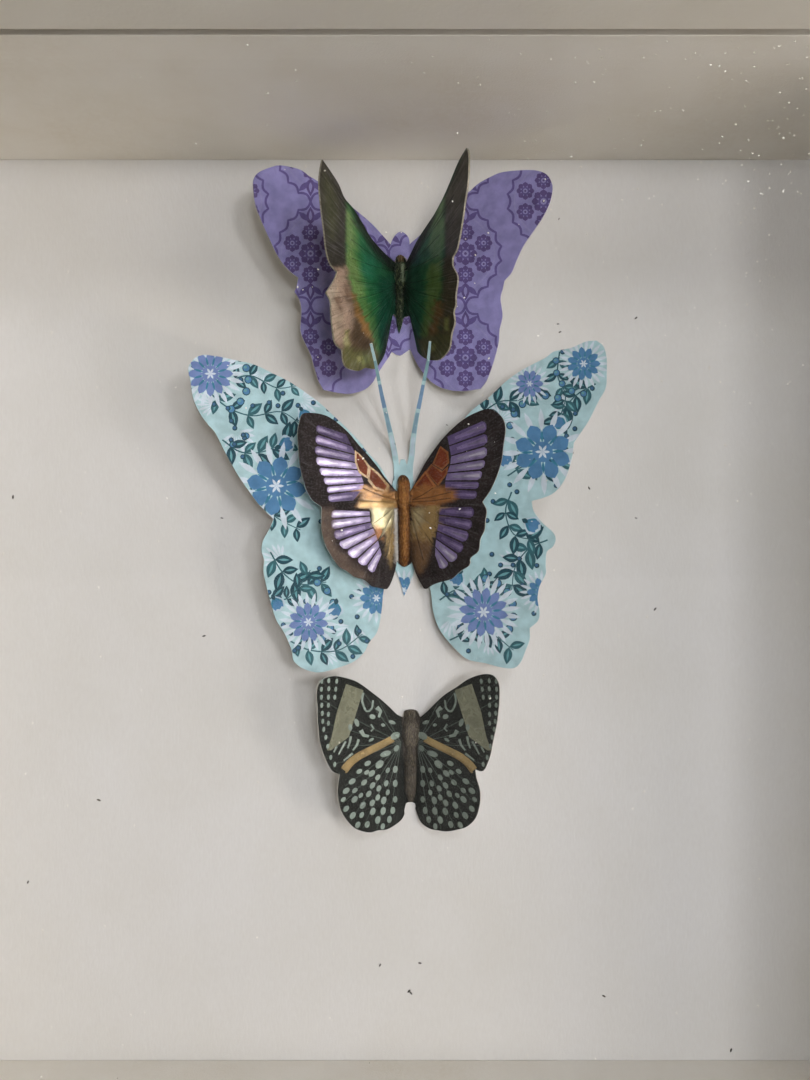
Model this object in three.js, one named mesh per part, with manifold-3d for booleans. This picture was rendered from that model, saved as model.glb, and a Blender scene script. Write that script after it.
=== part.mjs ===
// Butterfly shadow box: a deep square frame with a glazed front, a white mount card at the back and
// five butterflies cut from paper and thin card, folded at the body and glued on in a column.
// Millimetres. X runs to the right seen from the front, the front faces -Y, and Z is up.
// The origin is the middle of the foot of the box, so that it stands on its bottom rail.

import * as THREE from 'three';
import { mergeVertices } from 'three/addons/utils/BufferGeometryUtils.js';
import Module from 'manifold-3d';

// Frame and box
const OPENING = 225;
const RAIL_FACE = 15;
const REBATE = 5;
const BOX_DEPTH = 70;
const LIP_DEPTH = 9.5;
const PANE_THICKNESS = 1.5;
const PANE_CLEARANCE = 0.5;
const LINER_DEPTH = 50;
const LINER_THICKNESS = 4.5;
const CARD_THICKNESS = 1;
const BACKBOARD_THICKNESS = 3;

// Steel points that hold the backboard, two to each rail
const POINT_WIDTH = 9;
const POINT_LENGTH = 14;
const POINT_THICKNESS = 0.6;
const POINT_IN_RAIL = 6;
const POINT_PLACE = 62;
const SLOT_GAP = 0.3;

// Hanger on the backboard
const HANGER_LENGTH = 44;
const HANGER_HEIGHT = 8;
const HANGER_THICKNESS = 0.8;
const HANGER_FOOT = 9;
const HANGER_STAND_OFF = 1.6;
const HANGER_PLACE = 232;
const HANGER_TOOTH = 2;
const HANGER_TEETH = 10;
const RIVET_RADIUS = 2;
const RIVET_HEIGHT = 0.7;

// Butterflies
const SHEET_THICKNESS = 0.4;
const SPRING_LENGTH = 1.2;
const OUTLINE_STEP = 1.6;
const BEND_STEPS = 20;
const BEND_CROWDING = 1.6;
const SECTION_SPARE = 1.1;
const SEEING_ROUNDS = 12;

// The outlines are held as they are seen by an eye in front of the card, in pixels of the picture.
// On the card itself a pixel is PIXEL wide, and a point nearer to the eye looks larger by perspective.
const EYE_DISTANCE = 202.75;
const PIXEL = 0.25;
const EYE_PIXEL = [405, 540];
const EYE_HEIGHT = 145;

// Planes and widths that follow from the driving sizes
const OUTER = OPENING + 2 * RAIL_FACE;
const FRONT = -BOX_DEPTH / 2;
const BACK = BOX_DEPTH / 2;
const PANE_FRONT = FRONT + LIP_DEPTH;
const LINER_FRONT = PANE_FRONT + PANE_THICKNESS;
const CARD_FRONT = LINER_FRONT + LINER_DEPTH;
const BOARD_FRONT = CARD_FRONT + CARD_THICKNESS;
const BOARD_BACK = BOARD_FRONT + BACKBOARD_THICKNESS;
const MIDDLE = OUTER / 2;
const REBATE_HALF = OPENING / 2 + REBATE;

const paintedWood = { color: 0xc9c6bd, roughness: 0.5, metalness: 0 };
const linerCard = { color: 0xc4c0b4, roughness: 0.8, metalness: 0 };
const whiteCard = { color: 0xd4d2cc, roughness: 0.85, metalness: 0 };
const clearGlass = { color: 0xe8eeee, roughness: 0.05, metalness: 0, transparent: true, opacity: 0.2 };
const hardboard = { color: 0x7a5a3c, roughness: 0.8, metalness: 0 };
const steel = { color: 0x9a9a98, roughness: 0.4, metalness: 1 };
const brassedSteel = { color: 0xb08d4c, roughness: 0.4, metalness: 1 };
const purplePaper = { color: 0x766fa5, roughness: 0.75, metalness: 0 };
const bluePaper = { color: 0x94b9ba, roughness: 0.75, metalness: 0 };
const greenCard = { color: 0x326e50, roughness: 0.35, metalness: 0 };
const lilacCard = { color: 0x7d6c80, roughness: 0.3, metalness: 0 };
const spottedCard = { color: 0x2d302d, roughness: 0.35, metalness: 0 };

const wasm = await Module();
wasm.setup();
const group = new THREE.Group();

function addPiece(name, geometry, finish) {
  const mesh = new THREE.Mesh(geometry, new THREE.MeshStandardMaterial(finish));
  mesh.name = name;
  group.add(mesh);
}

// A closed geometry as a solid that can be joined and cut
function toSolid(geometry) {
  const bare = geometry.clone();
  bare.deleteAttribute('normal');
  bare.deleteAttribute('uv');
  const merged = mergeVertices(bare, 1e-5);
  const index = merged.index.array;
  const position = merged.attributes.position.array;
  return new wasm.Manifold(new wasm.Mesh({
    numProp: 3,
    vertProperties: Float32Array.from(position),
    triVerts: Uint32Array.from(index),
  }));
}

function toGeometry(solid) {
  const mesh = solid.getMesh();
  const geometry = new THREE.BufferGeometry();
  geometry.setAttribute('position', new THREE.BufferAttribute(mesh.vertProperties, 3));
  geometry.setIndex(new THREE.BufferAttribute(mesh.triVerts, 1));
  geometry.computeVertexNormals();
  return geometry;
}

function box(low, high) {
  const size = high.map((value, i) => value - low[i]);
  const geometry = new THREE.BoxGeometry(...size);
  geometry.translate(...low.map((value, i) => value + size[i] / 2));
  return geometry;
}

// A flat shape in X and Z, given depth from one Y plane to another
function slab(points, yFront, yBack) {
  const shape = new THREE.Shape(points.map(([x, z]) => new THREE.Vector2(x, z)));
  const geometry = new THREE.ExtrudeGeometry(shape, { depth: yBack - yFront, bevelEnabled: false });
  geometry.rotateX(Math.PI / 2);
  geometry.translate(0, yBack, 0);
  return geometry;
}

// A flat shape in X and Y, given height from one Z to another
function column(points, zLow, zHigh) {
  const shape = new THREE.Shape(points.map(([x, y]) => new THREE.Vector2(x, y)));
  const geometry = new THREE.ExtrudeGeometry(shape, { depth: zHigh - zLow, bevelEnabled: false });
  geometry.translate(0, 0, zLow);
  return geometry;
}

// The four sides of the box: each turns a place on the top side, given as distance along the side
// and distance outwards from the middle of the box, into X and Z
const sides = {
  top: (along, out) => [along, MIDDLE + out],
  bottom: (along, out) => [-along, MIDDLE - out],
  left: (along, out) => [-out, MIDDLE + along],
  right: (along, out) => [out, MIDDLE - along],
};

// Rails: a front lip and a thinner wall behind it, mitred at 45 degrees
function mitredBar(place, inner, outer) {
  return [place(-inner, inner), place(inner, inner), place(outer, outer), place(-outer, outer)];
}

function boxOnSide(place, along, out, yFront, yBack) {
  const corners = [place(along[0], out[0]), place(along[1], out[1])];
  const low = [Math.min(corners[0][0], corners[1][0]), yFront, Math.min(corners[0][1], corners[1][1])];
  const high = [Math.max(corners[0][0], corners[1][0]), yBack, Math.max(corners[0][1], corners[1][1])];
  return box(low, high);
}

let pointNumber = 0;
for (const [side, place] of Object.entries(sides)) {
  const lip = toSolid(slab(mitredBar(place, OPENING / 2, OUTER / 2), FRONT, PANE_FRONT));
  const wall = toSolid(slab(mitredBar(place, REBATE_HALF, OUTER / 2), PANE_FRONT, BACK));
  let rail = lip.add(wall);
  for (const centre of [-POINT_PLACE, POINT_PLACE]) {
    const half = POINT_WIDTH / 2;
    const driven = [REBATE_HALF - POINT_LENGTH + POINT_IN_RAIL, REBATE_HALF + POINT_IN_RAIL];
    const slotAlong = [centre - half - SLOT_GAP, centre + half + SLOT_GAP];
    const slotOut = [REBATE_HALF - 1, driven[1] + SLOT_GAP];
    const slotBack = BOARD_BACK + POINT_THICKNESS + SLOT_GAP;
    rail = rail.subtract(toSolid(boxOnSide(place, slotAlong, slotOut, BOARD_BACK - SLOT_GAP, slotBack)));
    pointNumber += 1;
    const pointBack = BOARD_BACK + POINT_THICKNESS;
    const plate = boxOnSide(place, [centre - half, centre + half], driven, BOARD_BACK, pointBack);
    addPiece(`framer_point_${pointNumber}`, plate, steel);
  }
  addPiece(`frame_${side}_rail`, toGeometry(rail), paintedWood);
}

// Pane, liner boards, mount card and backboard, held in the rebate
const paneHalf = REBATE_HALF - PANE_CLEARANCE;
addPiece('glass_pane', box([-paneHalf, PANE_FRONT, MIDDLE - paneHalf],
  [paneHalf, LINER_FRONT, MIDDLE + paneHalf]), clearGlass);

// The top and bottom liner boards reach over the ends of the other two
const linerInner = OPENING / 2;
const linerOuter = OPENING / 2 + LINER_THICKNESS;
const linerLengths = { top: linerOuter, bottom: linerOuter, left: linerInner, right: linerInner };
for (const [side, half] of Object.entries(linerLengths)) {
  const board = boxOnSide(sides[side], [-half, half], [linerInner, linerOuter], LINER_FRONT, CARD_FRONT);
  addPiece(`liner_${side}`, board, linerCard);
}

addPiece('mount_card', box([-paneHalf, CARD_FRONT, MIDDLE - paneHalf],
  [paneHalf, BOARD_FRONT, MIDDLE + paneHalf]), whiteCard);
addPiece('backboard', box([-paneHalf, BOARD_FRONT, MIDDLE - paneHalf],
  [paneHalf, BOARD_BACK, MIDDLE + paneHalf]), hardboard);

// Hanger: a strip with two feet on the board and a middle that stands off it, toothed along its lower edge
const feet = HANGER_LENGTH / 2;
const bend = feet - HANGER_FOOT;
const offset = HANGER_STAND_OFF;
const halfFront = [[bend - offset, offset], [bend, 0], [feet, 0]];
const plateFront = [...halfFront.map(([x, y]) => [-x, y]).reverse(), ...halfFront];
const plateBack = plateFront.map(([x, y]) => [x, y + HANGER_THICKNESS]).reverse();
const strip = [...plateFront, ...plateBack].map(([x, y]) => [x, y + BOARD_BACK]);
const hangerLow = HANGER_PLACE - HANGER_HEIGHT / 2;
const hangerHigh = HANGER_PLACE + HANGER_HEIGHT / 2;
const teethHalf = HANGER_TOOTH * HANGER_TEETH / 2;
const toothed = [[-feet, hangerHigh], [-feet, hangerLow], [-teethHalf, hangerLow]];
for (let x = -teethHalf; x < teethHalf; x += HANGER_TOOTH) {
  toothed.push([x + HANGER_TOOTH / 2, hangerLow + HANGER_TOOTH / 2], [x + HANGER_TOOTH, hangerLow]);
}
toothed.push([feet, hangerLow], [feet, hangerHigh]);
const stripSolid = toSolid(column(strip, hangerLow - 1, hangerHigh + 1));
const toothedSolid = toSolid(slab(toothed, BOARD_BACK - 1, BACK));
addPiece('sawtooth_hanger', toGeometry(stripSolid.intersect(toothedSolid)), brassedSteel);
for (const [name, direction] of [['hanger_rivet_left', -1], ['hanger_rivet_right', 1]]) {
  const rivet = new THREE.CylinderGeometry(RIVET_RADIUS * 0.7, RIVET_RADIUS, RIVET_HEIGHT, 16);
  const y = BOARD_BACK + HANGER_THICKNESS + RIVET_HEIGHT / 2;
  rivet.translate(direction * (feet - HANGER_FOOT / 2), y, HANGER_PLACE);
  addPiece(name, rivet, brassedSteel);
}

// Height of a folded wing above the card: flat over the glued strip at the body, springing up steeply
// from the crease beside it, then rising on towards the wing's edge
function wingLift(sheet, x) {
  const distance = Math.max(0, Math.abs(x - sheet.bodyX) - sheet.gluedHalf);
  const spring = sheet.spring * (1 - Math.exp(-distance / SPRING_LENGTH));
  const rise = x > sheet.bodyX ? sheet.rightRise : sheet.leftRise;
  return sheet.base + spring + rise * (distance / (sheet.reach - sheet.gluedHalf)) ** sheet.curl;
}

// From a pixel to the real X and Z of a point on the sheet, which depends on how far it stands forward
function placeOnSheet([px, py], lift) {
  const seenX = (px - EYE_PIXEL[0]) * PIXEL;
  const seenZ = (EYE_PIXEL[1] - py) * PIXEL;
  let scale = 1;
  for (let round = 0; round < SEEING_ROUNDS; round += 1) {
    scale = 1 - lift(seenX * scale, EYE_HEIGHT + seenZ * scale) / EYE_DISTANCE;
  }
  return [seenX * scale, EYE_HEIGHT + seenZ * scale];
}

// A closed outline from its runs: each run is a smooth curve, and runs meet at corners
function outlinePoints(runs, lift) {
  const points = [];
  for (const run of runs) {
    const curve = new THREE.SplineCurve(run.map((pixel) => new THREE.Vector2(...placeOnSheet(pixel, lift))));
    const steps = Math.max(2, Math.round(curve.getLength() / OUTLINE_STEP));
    const spaced = curve.getSpacedPoints(steps).slice(0, -1);
    points.push(...spaced.map((point) => [point.x, point.y]));
  }
  return points;
}

// Section of a bent sheet from its face line, given as places and heights above the card
function bentSection(line) {
  const back = [];
  for (let i = 0; i < line.length; i += 1) {
    const before = line[Math.max(0, i - 1)];
    const after = line[Math.min(line.length - 1, i + 1)];
    const run = new THREE.Vector2(after[0] - before[0], after[1] - before[1]).normalize();
    back.unshift([line[i][0] - run.y * SHEET_THICKNESS, line[i][1] + run.x * SHEET_THICKNESS]);
  }
  return [...line, ...back];
}

// The two wings' section: the sheet's underside follows wingLift
function wingSection(sheet) {
  const line = [];
  for (let i = -BEND_STEPS; i <= BEND_STEPS; i += 1) {
    const part = Math.abs(i) / BEND_STEPS;
    const span = sheet.reach * SECTION_SPARE - sheet.gluedHalf;
    const distance = sheet.gluedHalf + span * part ** BEND_CROWDING;
    if (i === 0) {
      line.push([sheet.bodyX - sheet.gluedHalf, sheet.base], [sheet.bodyX + sheet.gluedHalf, sheet.base]);
    } else {
      const x = sheet.bodyX + Math.sign(i) * distance;
      line.push([x, wingLift(sheet, x)]);
    }
  }
  return bentSection(line);
}

function foldedSheet(sheet) {
  const outline = outlinePoints(sheet.runs, (x) => wingLift(sheet, x));
  const section = wingSection(sheet).map(([x, height]) => [x, CARD_FRONT - height]);
  const bent = toSolid(column(section.reverse(), 0, OUTER));
  return bent.intersect(toSolid(slab(outline, LINER_FRONT, CARD_FRONT + 1)));
}

// Head, thorax or abdomen, pressed up from the sheet: the front half of a long rounded form
function pressedLobe(sheet, lobe) {
  const [x, zTop] = placeOnSheet([lobe.x, lobe.top], () => sheet.base);
  const zLow = placeOnSheet([lobe.x, lobe.bottom], () => sheet.base)[1];
  const face = CARD_FRONT - sheet.base - SHEET_THICKNESS / 2;
  const form = new THREE.SphereGeometry(1, 12, 10);
  form.scale(lobe.halfWidth, lobe.height + SHEET_THICKNESS / 2, (zTop - zLow) / 2);
  form.translate(x, face, (zTop + zLow) / 2);
  const front = box([x - sheet.reach, LINER_FRONT, 0], [x + sheet.reach, face, OUTER]);
  return toSolid(form).intersect(toSolid(front));
}

function cardWithBody(sheet) {
  let solid = foldedSheet(sheet);
  for (const lobe of sheet.lobes) {
    solid = solid.add(pressedLobe(sheet, lobe));
  }
  return solid;
}

const purple = {
  bodyX: -1.25, gluedHalf: 2.5, base: 0,
  reach: 34.5, leftRise: 13, rightRise: 13, curl: 1.15, spring: 0.5,
  runs: [
    [[390, 245], [395, 236], [401, 232], [408, 237], [410, 245]],
    [[410, 245], [419, 237], [435, 222], [453, 206], [470, 192], [479, 184], [492, 177], [502, 173],
      [519, 171], [536, 171], [547, 175], [552, 183], [553, 190], [550, 204], [543, 218], [535, 230],
      [526, 243], [522, 250], [517, 261], [512, 273], [505, 281]],
    [[505, 281], [503, 290], [501, 299], [503, 316], [500, 330], [499, 343], [495, 359], [491, 371],
      [487, 381], [481, 389]],
    [[481, 389], [467, 391], [454, 391], [442, 388], [433, 383], [426, 376], [420, 368], [415, 359],
      [411, 349]],
    [[411, 349], [405, 353], [400, 356], [396, 355], [392, 352]],
    [[392, 352], [387, 359], [381, 368], [376, 376], [372, 383], [364, 390], [350, 394], [337, 393],
      [323, 390]],
    [[323, 390], [318, 381], [314, 368], [310, 354], [304, 342], [300, 330], [301, 312], [299, 300],
      [294, 292]],
    [[294, 292], [296, 287], [298, 278]],
    [[298, 278], [290, 272], [281, 262], [274, 250], [268, 237], [260, 219], [255, 205], [253, 192],
      [253, 180], [257, 174], [262, 171], [270, 168], [280, 166], [299, 170], [309, 177], [316, 181],
      [335, 195], [352, 208], [371, 224], [383, 237], [390, 245]],
  ],
};

const green = {
  bodyX: -1.25, gluedHalf: 1.2, base: SHEET_THICKNESS,
  reach: 16.5, leftRise: 29, rightRise: 34, curl: 1, spring: 0.6,
  lobes: [
    { x: 400, top: 255, bottom: 266, halfWidth: 1.1, height: 0.9 },
    { x: 400.5, top: 261, bottom: 291, halfWidth: 1.9, height: 1.5 },
    { x: 400, top: 284, bottom: 331, halfWidth: 1.2, height: 1.2 },
  ],
  runs: [
    [[394, 263], [396, 258], [401, 256], [406, 258], [408, 262]],
    [[408, 262], [412, 254], [419, 240], [428, 226], [436, 214], [445, 197], [452, 181], [460, 162],
      [468, 148]],
    [[468, 148], [470, 154], [470, 168], [469, 185], [466, 204], [464, 219], [461, 237], [458, 250],
      [454, 257]],
    [[454, 257], [454, 266], [458, 274], [459, 281], [457, 295], [457, 305], [455, 312], [456, 323],
      [453, 333], [451, 347], [447, 354], [440, 360], [431, 360], [424, 357], [419, 352]],
    [[419, 352], [416, 338], [411, 316]],
    [[411, 316], [404, 318], [402, 326], [399, 334]],
    [[399, 334], [397, 326], [396, 318], [392, 314]],
    [[392, 314], [390, 321], [386, 343], [383, 355], [378, 364], [373, 369], [364, 368], [357, 371],
      [346, 368], [342, 361], [341, 350]],
    [[341, 350], [334, 343], [331, 326], [330, 312], [329, 300], [325, 293]],
    [[325, 293], [328, 288], [333, 280], [336, 272]],
    [[336, 272], [329, 264], [325, 250], [323, 233], [320, 209], [318, 185], [319, 171], [321, 160]],
    [[321, 160], [328, 170], [337, 184], [343, 198], [352, 209], [361, 223], [369, 237], [380, 250],
      [394, 263]],
  ],
};

const blue = {
  bodyX: -0.25, gluedHalf: 2.5, base: 0,
  reach: 49, leftRise: 17.5, rightRise: 17.5, curl: 1.2, spring: 0.5,
  runs: [
    [[391, 487], [393, 478], [393, 462], [397, 458], [403, 460], [409, 458], [413, 462], [413, 478],
      [415, 487]],
    [[415, 487], [430, 465], [450, 438], [463, 421], [474, 409], [490, 397], [506, 382], [523, 370],
      [546, 358], [554, 352], [572, 348], [586, 342], [597, 341]],
    [[597, 341], [604, 347], [607, 359], [607, 374], [606, 388], [599, 401], [590, 419], [583, 430],
      [574, 443]],
    [[574, 443], [573, 454], [569, 470], [563, 483], [554, 493], [543, 498], [532, 501]],
    [[532, 501], [534, 511], [543, 523], [553, 532], [556, 539], [553, 547], [547, 552], [546, 566],
      [546, 574], [540, 586], [538, 599], [540, 612], [538, 621], [530, 628]],
    [[530, 628], [530, 639], [526, 650], [521, 662], [514, 668], [501, 667], [486, 663], [468, 659],
      [454, 647], [443, 634], [437, 623], [433, 608], [431, 590], [425, 572], [417, 556]],
    [[417, 556], [416, 566], [411, 581], [404, 596]],
    [[404, 596], [400, 581], [394, 566], [391, 556]],
    [[391, 556], [387, 572], [383, 592], [381, 612], [377, 631], [369, 642], [363, 653], [352, 662],
      [336, 668], [321, 672], [310, 671], [300, 667]],
    [[300, 667], [293, 660], [291, 649], [284, 633], [276, 620], [271, 605], [266, 586], [263, 570],
      [264, 560], [261, 551], [263, 540], [269, 529], [273, 519]],
    [[273, 519], [267, 513], [258, 504], [250, 493], [240, 479], [231, 464], [223, 449], [215, 433],
      [208, 425], [200, 414], [193, 399], [190, 381], [188, 368], [195, 358], [204, 355]],
    [[204, 355], [219, 357], [237, 361], [254, 365], [271, 373], [289, 382], [304, 392], [319, 403],
      [330, 413], [350, 432], [367, 451], [380, 467], [391, 487]],
  ],
};

const lilac = {
  bodyX: -0.25, gluedHalf: 1.6, base: SHEET_THICKNESS,
  reach: 24.6, leftRise: 13, rightRise: 13, curl: 1.05, spring: 1.2,
  lobes: [
    { x: 403, top: 475, bottom: 488, halfWidth: 1.6, height: 1.1 },
    { x: 403.8, top: 483, bottom: 509, halfWidth: 2.4, height: 1.8 },
    { x: 404.6, top: 500, bottom: 567, halfWidth: 1.6, height: 1.5 },
  ],
  runs: [
    [[396, 492], [397, 482], [400, 476], [404, 475], [408, 478], [410, 484], [411, 492]],
    [[411, 492], [415, 485], [419, 476], [426, 463], [434, 451], [444, 438], [455, 427], [465, 419],
      [476, 413], [489, 409], [498, 413], [504, 420], [506, 430], [504, 445], [502, 461], [497, 477],
      [491, 490], [483, 502]],
    [[483, 502], [487, 510], [486, 520], [485, 530], [481, 539], [479, 551], [471, 558], [470, 565],
      [460, 572], [452, 579], [441, 582], [433, 585], [426, 589], [422, 584], [417, 574], [413, 562]],
    [[413, 562], [409, 565], [404, 567], [399, 564], [396, 560]],
    [[396, 560], [394, 571], [390, 583], [386, 589], [380, 588], [371, 586], [364, 580], [354, 577],
      [346, 571], [339, 567], [331, 556], [325, 545], [321, 530], [321, 516], [321, 507]],
    [[321, 507], [312, 500], [306, 490], [302, 477], [299, 462], [298, 448], [297, 433], [299, 422],
      [302, 414], [310, 413], [319, 414], [328, 417], [338, 424], [348, 433], [358, 445], [368, 456],
      [377, 467], [384, 477], [396, 492]],
  ],
};

const spotted = {
  bodyX: 1.25, gluedHalf: 1.6, base: 0,
  reach: 22, leftRise: 12, rightRise: 12, curl: 1.1, spring: 0.9,
  lobes: [
    { x: 410.5, top: 709, bottom: 722, halfWidth: 1.6, height: 1 },
    { x: 411, top: 717, bottom: 749, halfWidth: 2.3, height: 1.6 },
    { x: 410.5, top: 741, bottom: 803, halfWidth: 1.6, height: 1.4 },
  ],
  runs: [
    [[402, 717], [404, 711], [411, 709], [418, 711], [421, 717]],
    [[421, 717], [428, 711], [437, 702], [446, 694], [457, 687], [467, 680], [476, 676], [485, 674],
      [493, 675], [498, 680], [500, 687], [500, 699], [499, 712], [497, 726], [494, 740], [491, 755],
      [486, 768], [482, 771], [476, 769]],
    [[476, 769], [477, 777], [480, 787], [481, 796], [480, 806], [476, 818], [468, 826], [459, 829],
      [448, 831], [439, 830], [430, 828], [422, 822], [418, 813], [415, 803]],
    [[415, 803], [410, 801], [406, 803]],
    [[406, 803], [402, 817], [395, 824], [386, 829], [377, 830], [370, 832], [362, 831], [353, 827],
      [345, 818], [340, 809], [338, 800], [337, 791], [338, 781], [339, 774]],
    [[339, 774], [332, 771], [327, 763], [322, 751], [319, 740], [318, 730], [317, 719], [317, 707],
      [316, 697], [317, 687], [321, 680], [328, 677], [336, 676], [346, 678], [355, 681], [363, 686],
      [371, 692], [380, 699], [389, 707], [396, 714], [402, 717]],
  ],
};

// The blue butterfly's antennae are cut with it and curl forwards above its head
const antennae = [
  [[396, 466], [395, 455], [391, 435], [383, 400], [379, 380], [375, 360], [371, 343]],
  [[410, 466], [412, 452], [413, 440], [416, 420], [420, 400], [424, 380], [428, 360], [430, 341]],
];
const ANTENNA_ROOT_WIDTH = 1.5;
const ANTENNA_TIP_WIDTH = 0.5;
const ANTENNA_ROOT_Z = 164.5;
const ANTENNA_LENGTH = 27;
const ANTENNA_RISE = 20.5;
const ANTENNA_CURL = 1.2;
const ANTENNA_STEPS = 14;
const ANTENNA_LAP = 6;

function antennaLift(z) {
  const along = Math.max(0, z - ANTENNA_ROOT_Z) / ANTENNA_LENGTH;
  return ANTENNA_RISE * along ** ANTENNA_CURL;
}

function antennaSolid(pixels) {
  const places = pixels.map((pixel) => new THREE.Vector2(...placeOnSheet(pixel, (x, z) => antennaLift(z))));
  const curve = new THREE.SplineCurve(places);
  const steps = ANTENNA_STEPS;
  const left = [];
  const right = [];
  for (let i = 0; i <= steps; i += 1) {
    const centre = curve.getPoint(i / steps);
    const along = curve.getTangent(i / steps);
    const half = THREE.MathUtils.lerp(ANTENNA_ROOT_WIDTH, ANTENNA_TIP_WIDTH, i / steps) / 2;
    left.push([centre.x - along.y * half, centre.y + along.x * half]);
    right.unshift([centre.x + along.y * half, centre.y - along.x * half]);
  }
  const outline = toSolid(slab([...left, ...right], LINER_FRONT, CARD_FRONT + 1));
  const line = [[ANTENNA_ROOT_Z - ANTENNA_LAP, 0]];
  for (let i = 0; i <= steps; i += 1) {
    const z = ANTENNA_ROOT_Z + ANTENNA_LENGTH * SECTION_SPARE * (i / steps);
    line.push([z, antennaLift(z)]);
  }
  const section = bentSection(line).map(([z, height]) => [z, CARD_FRONT - height]);
  const strip = column(section, -OUTER / 2, OUTER / 2);
  strip.applyMatrix4(new THREE.Matrix4().set(0, 0, -1, 0, 0, 1, 0, 0, 1, 0, 0, 0, 0, 0, 0, 1));
  return outline.intersect(toSolid(strip));
}

addPiece('butterfly_purple', toGeometry(foldedSheet(purple)), purplePaper);
addPiece('butterfly_green', toGeometry(cardWithBody(green)), greenCard);
let blueSheet = foldedSheet(blue);
for (const pixels of antennae) {
  blueSheet = blueSheet.add(antennaSolid(pixels));
}
addPiece('butterfly_blue', toGeometry(blueSheet), bluePaper);
addPiece('butterfly_lilac', toGeometry(cardWithBody(lilac)), lilacCard);
addPiece('butterfly_spotted', toGeometry(cardWithBody(spotted)), spottedCard);

export default group;
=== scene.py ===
import math

import bmesh
import bpy
import numpy as np
from mathutils.geometry import delaunay_2d_cdt
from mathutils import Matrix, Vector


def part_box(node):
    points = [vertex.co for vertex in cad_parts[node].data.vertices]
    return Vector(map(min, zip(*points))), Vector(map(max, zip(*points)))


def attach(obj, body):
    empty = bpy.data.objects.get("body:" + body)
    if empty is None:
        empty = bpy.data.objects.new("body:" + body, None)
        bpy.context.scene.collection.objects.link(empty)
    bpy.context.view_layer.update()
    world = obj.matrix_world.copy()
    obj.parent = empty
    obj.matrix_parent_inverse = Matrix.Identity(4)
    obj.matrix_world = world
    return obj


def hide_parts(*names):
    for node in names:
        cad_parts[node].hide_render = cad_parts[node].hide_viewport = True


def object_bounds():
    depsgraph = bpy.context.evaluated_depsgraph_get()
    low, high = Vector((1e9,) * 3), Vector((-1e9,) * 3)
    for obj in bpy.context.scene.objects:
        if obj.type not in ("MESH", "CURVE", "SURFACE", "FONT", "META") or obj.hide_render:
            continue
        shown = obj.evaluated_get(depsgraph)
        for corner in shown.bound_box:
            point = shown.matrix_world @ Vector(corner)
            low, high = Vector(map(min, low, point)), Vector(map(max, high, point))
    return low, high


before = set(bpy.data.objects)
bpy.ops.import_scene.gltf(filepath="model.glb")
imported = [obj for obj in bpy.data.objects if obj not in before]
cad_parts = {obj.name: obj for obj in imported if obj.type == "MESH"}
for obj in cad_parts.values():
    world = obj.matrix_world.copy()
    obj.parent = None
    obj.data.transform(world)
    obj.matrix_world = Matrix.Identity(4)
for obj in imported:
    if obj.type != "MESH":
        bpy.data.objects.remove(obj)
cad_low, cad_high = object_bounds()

# Painted rails: four mitred lengths of one softwood moulding, glued at the corners and sprayed
# with off-white satin paint, which pools a little and wears warm along the edges.
MM = 0.001
RAIL_PAINT = "dfdbd3"
RAIL_PAINT_POOLED = "d6d1c6"
RAIL_WORN = "b9a88c"
RAIL_EDGE_ROUND = 0.7 * MM
WORN_WIDTH = 1.2 * MM
PAINT_POOL = 40 * MM
RUB = 7 * MM
SPRAY_GRAIN = 0.9 * MM
RAILS = ("frame_top_rail", "frame_bottom_rail", "frame_left_rail", "frame_right_rail")


def linear(hex_colour):
    """An sRGB hex colour as linear red, green, blue and 1."""
    values = [int(hex_colour[i:i + 2], 16) / 255 for i in (0, 2, 4)]
    return [v / 12.92 if v <= 0.04045 else ((v + 0.055) / 1.055) ** 2.4 for v in values] + [1.0]


def add_node(tree, kind, inputs=(), out=0, **settings):
    """Adds a node of that kind. Its inputs, in order or by name or number, are values, hex colours or
    outputs of other nodes. Gives the output asked for, by number or name."""
    node = tree.nodes.new(kind)
    for name, value in settings.items():
        setattr(node, name, value)
    for socket, value in inputs.items() if isinstance(inputs, dict) else enumerate(inputs):
        if isinstance(value, bpy.types.NodeSocket):
            tree.links.new(value, node.inputs[socket])
        else:
            node.inputs[socket].default_value = linear(value) if isinstance(value, str) else value
    return node.outputs[out] if len(node.outputs) else None


def new_material(name):
    """An empty node material, its tree and Object coordinates."""
    material = bpy.data.materials.new(name)
    material.use_nodes = True
    tree = material.node_tree
    tree.nodes.clear()
    return material, tree, add_node(tree, "ShaderNodeTexCoord", out="Object")


def laid_over(tree, under, over, field, low=0.0, high=1.0, most=1.0, way="MIX"):
    """One colour laid over another where a field goes from low to high, by most of it at the most."""
    part = add_node(tree, "ShaderNodeMapRange", [field, low, high, 0.0, most])
    return add_node(tree, "ShaderNodeMix", {0: part, 6: under, 7: over}, 2, data_type="RGBA", blend_type=way)


def surfaced(material, tree, inputs):
    """The material with its surface, which has those inputs."""
    shader = add_node(tree, "ShaderNodeBsdfPrincipled", inputs)
    add_node(tree, "ShaderNodeOutputMaterial", [shader])
    return material


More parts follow.
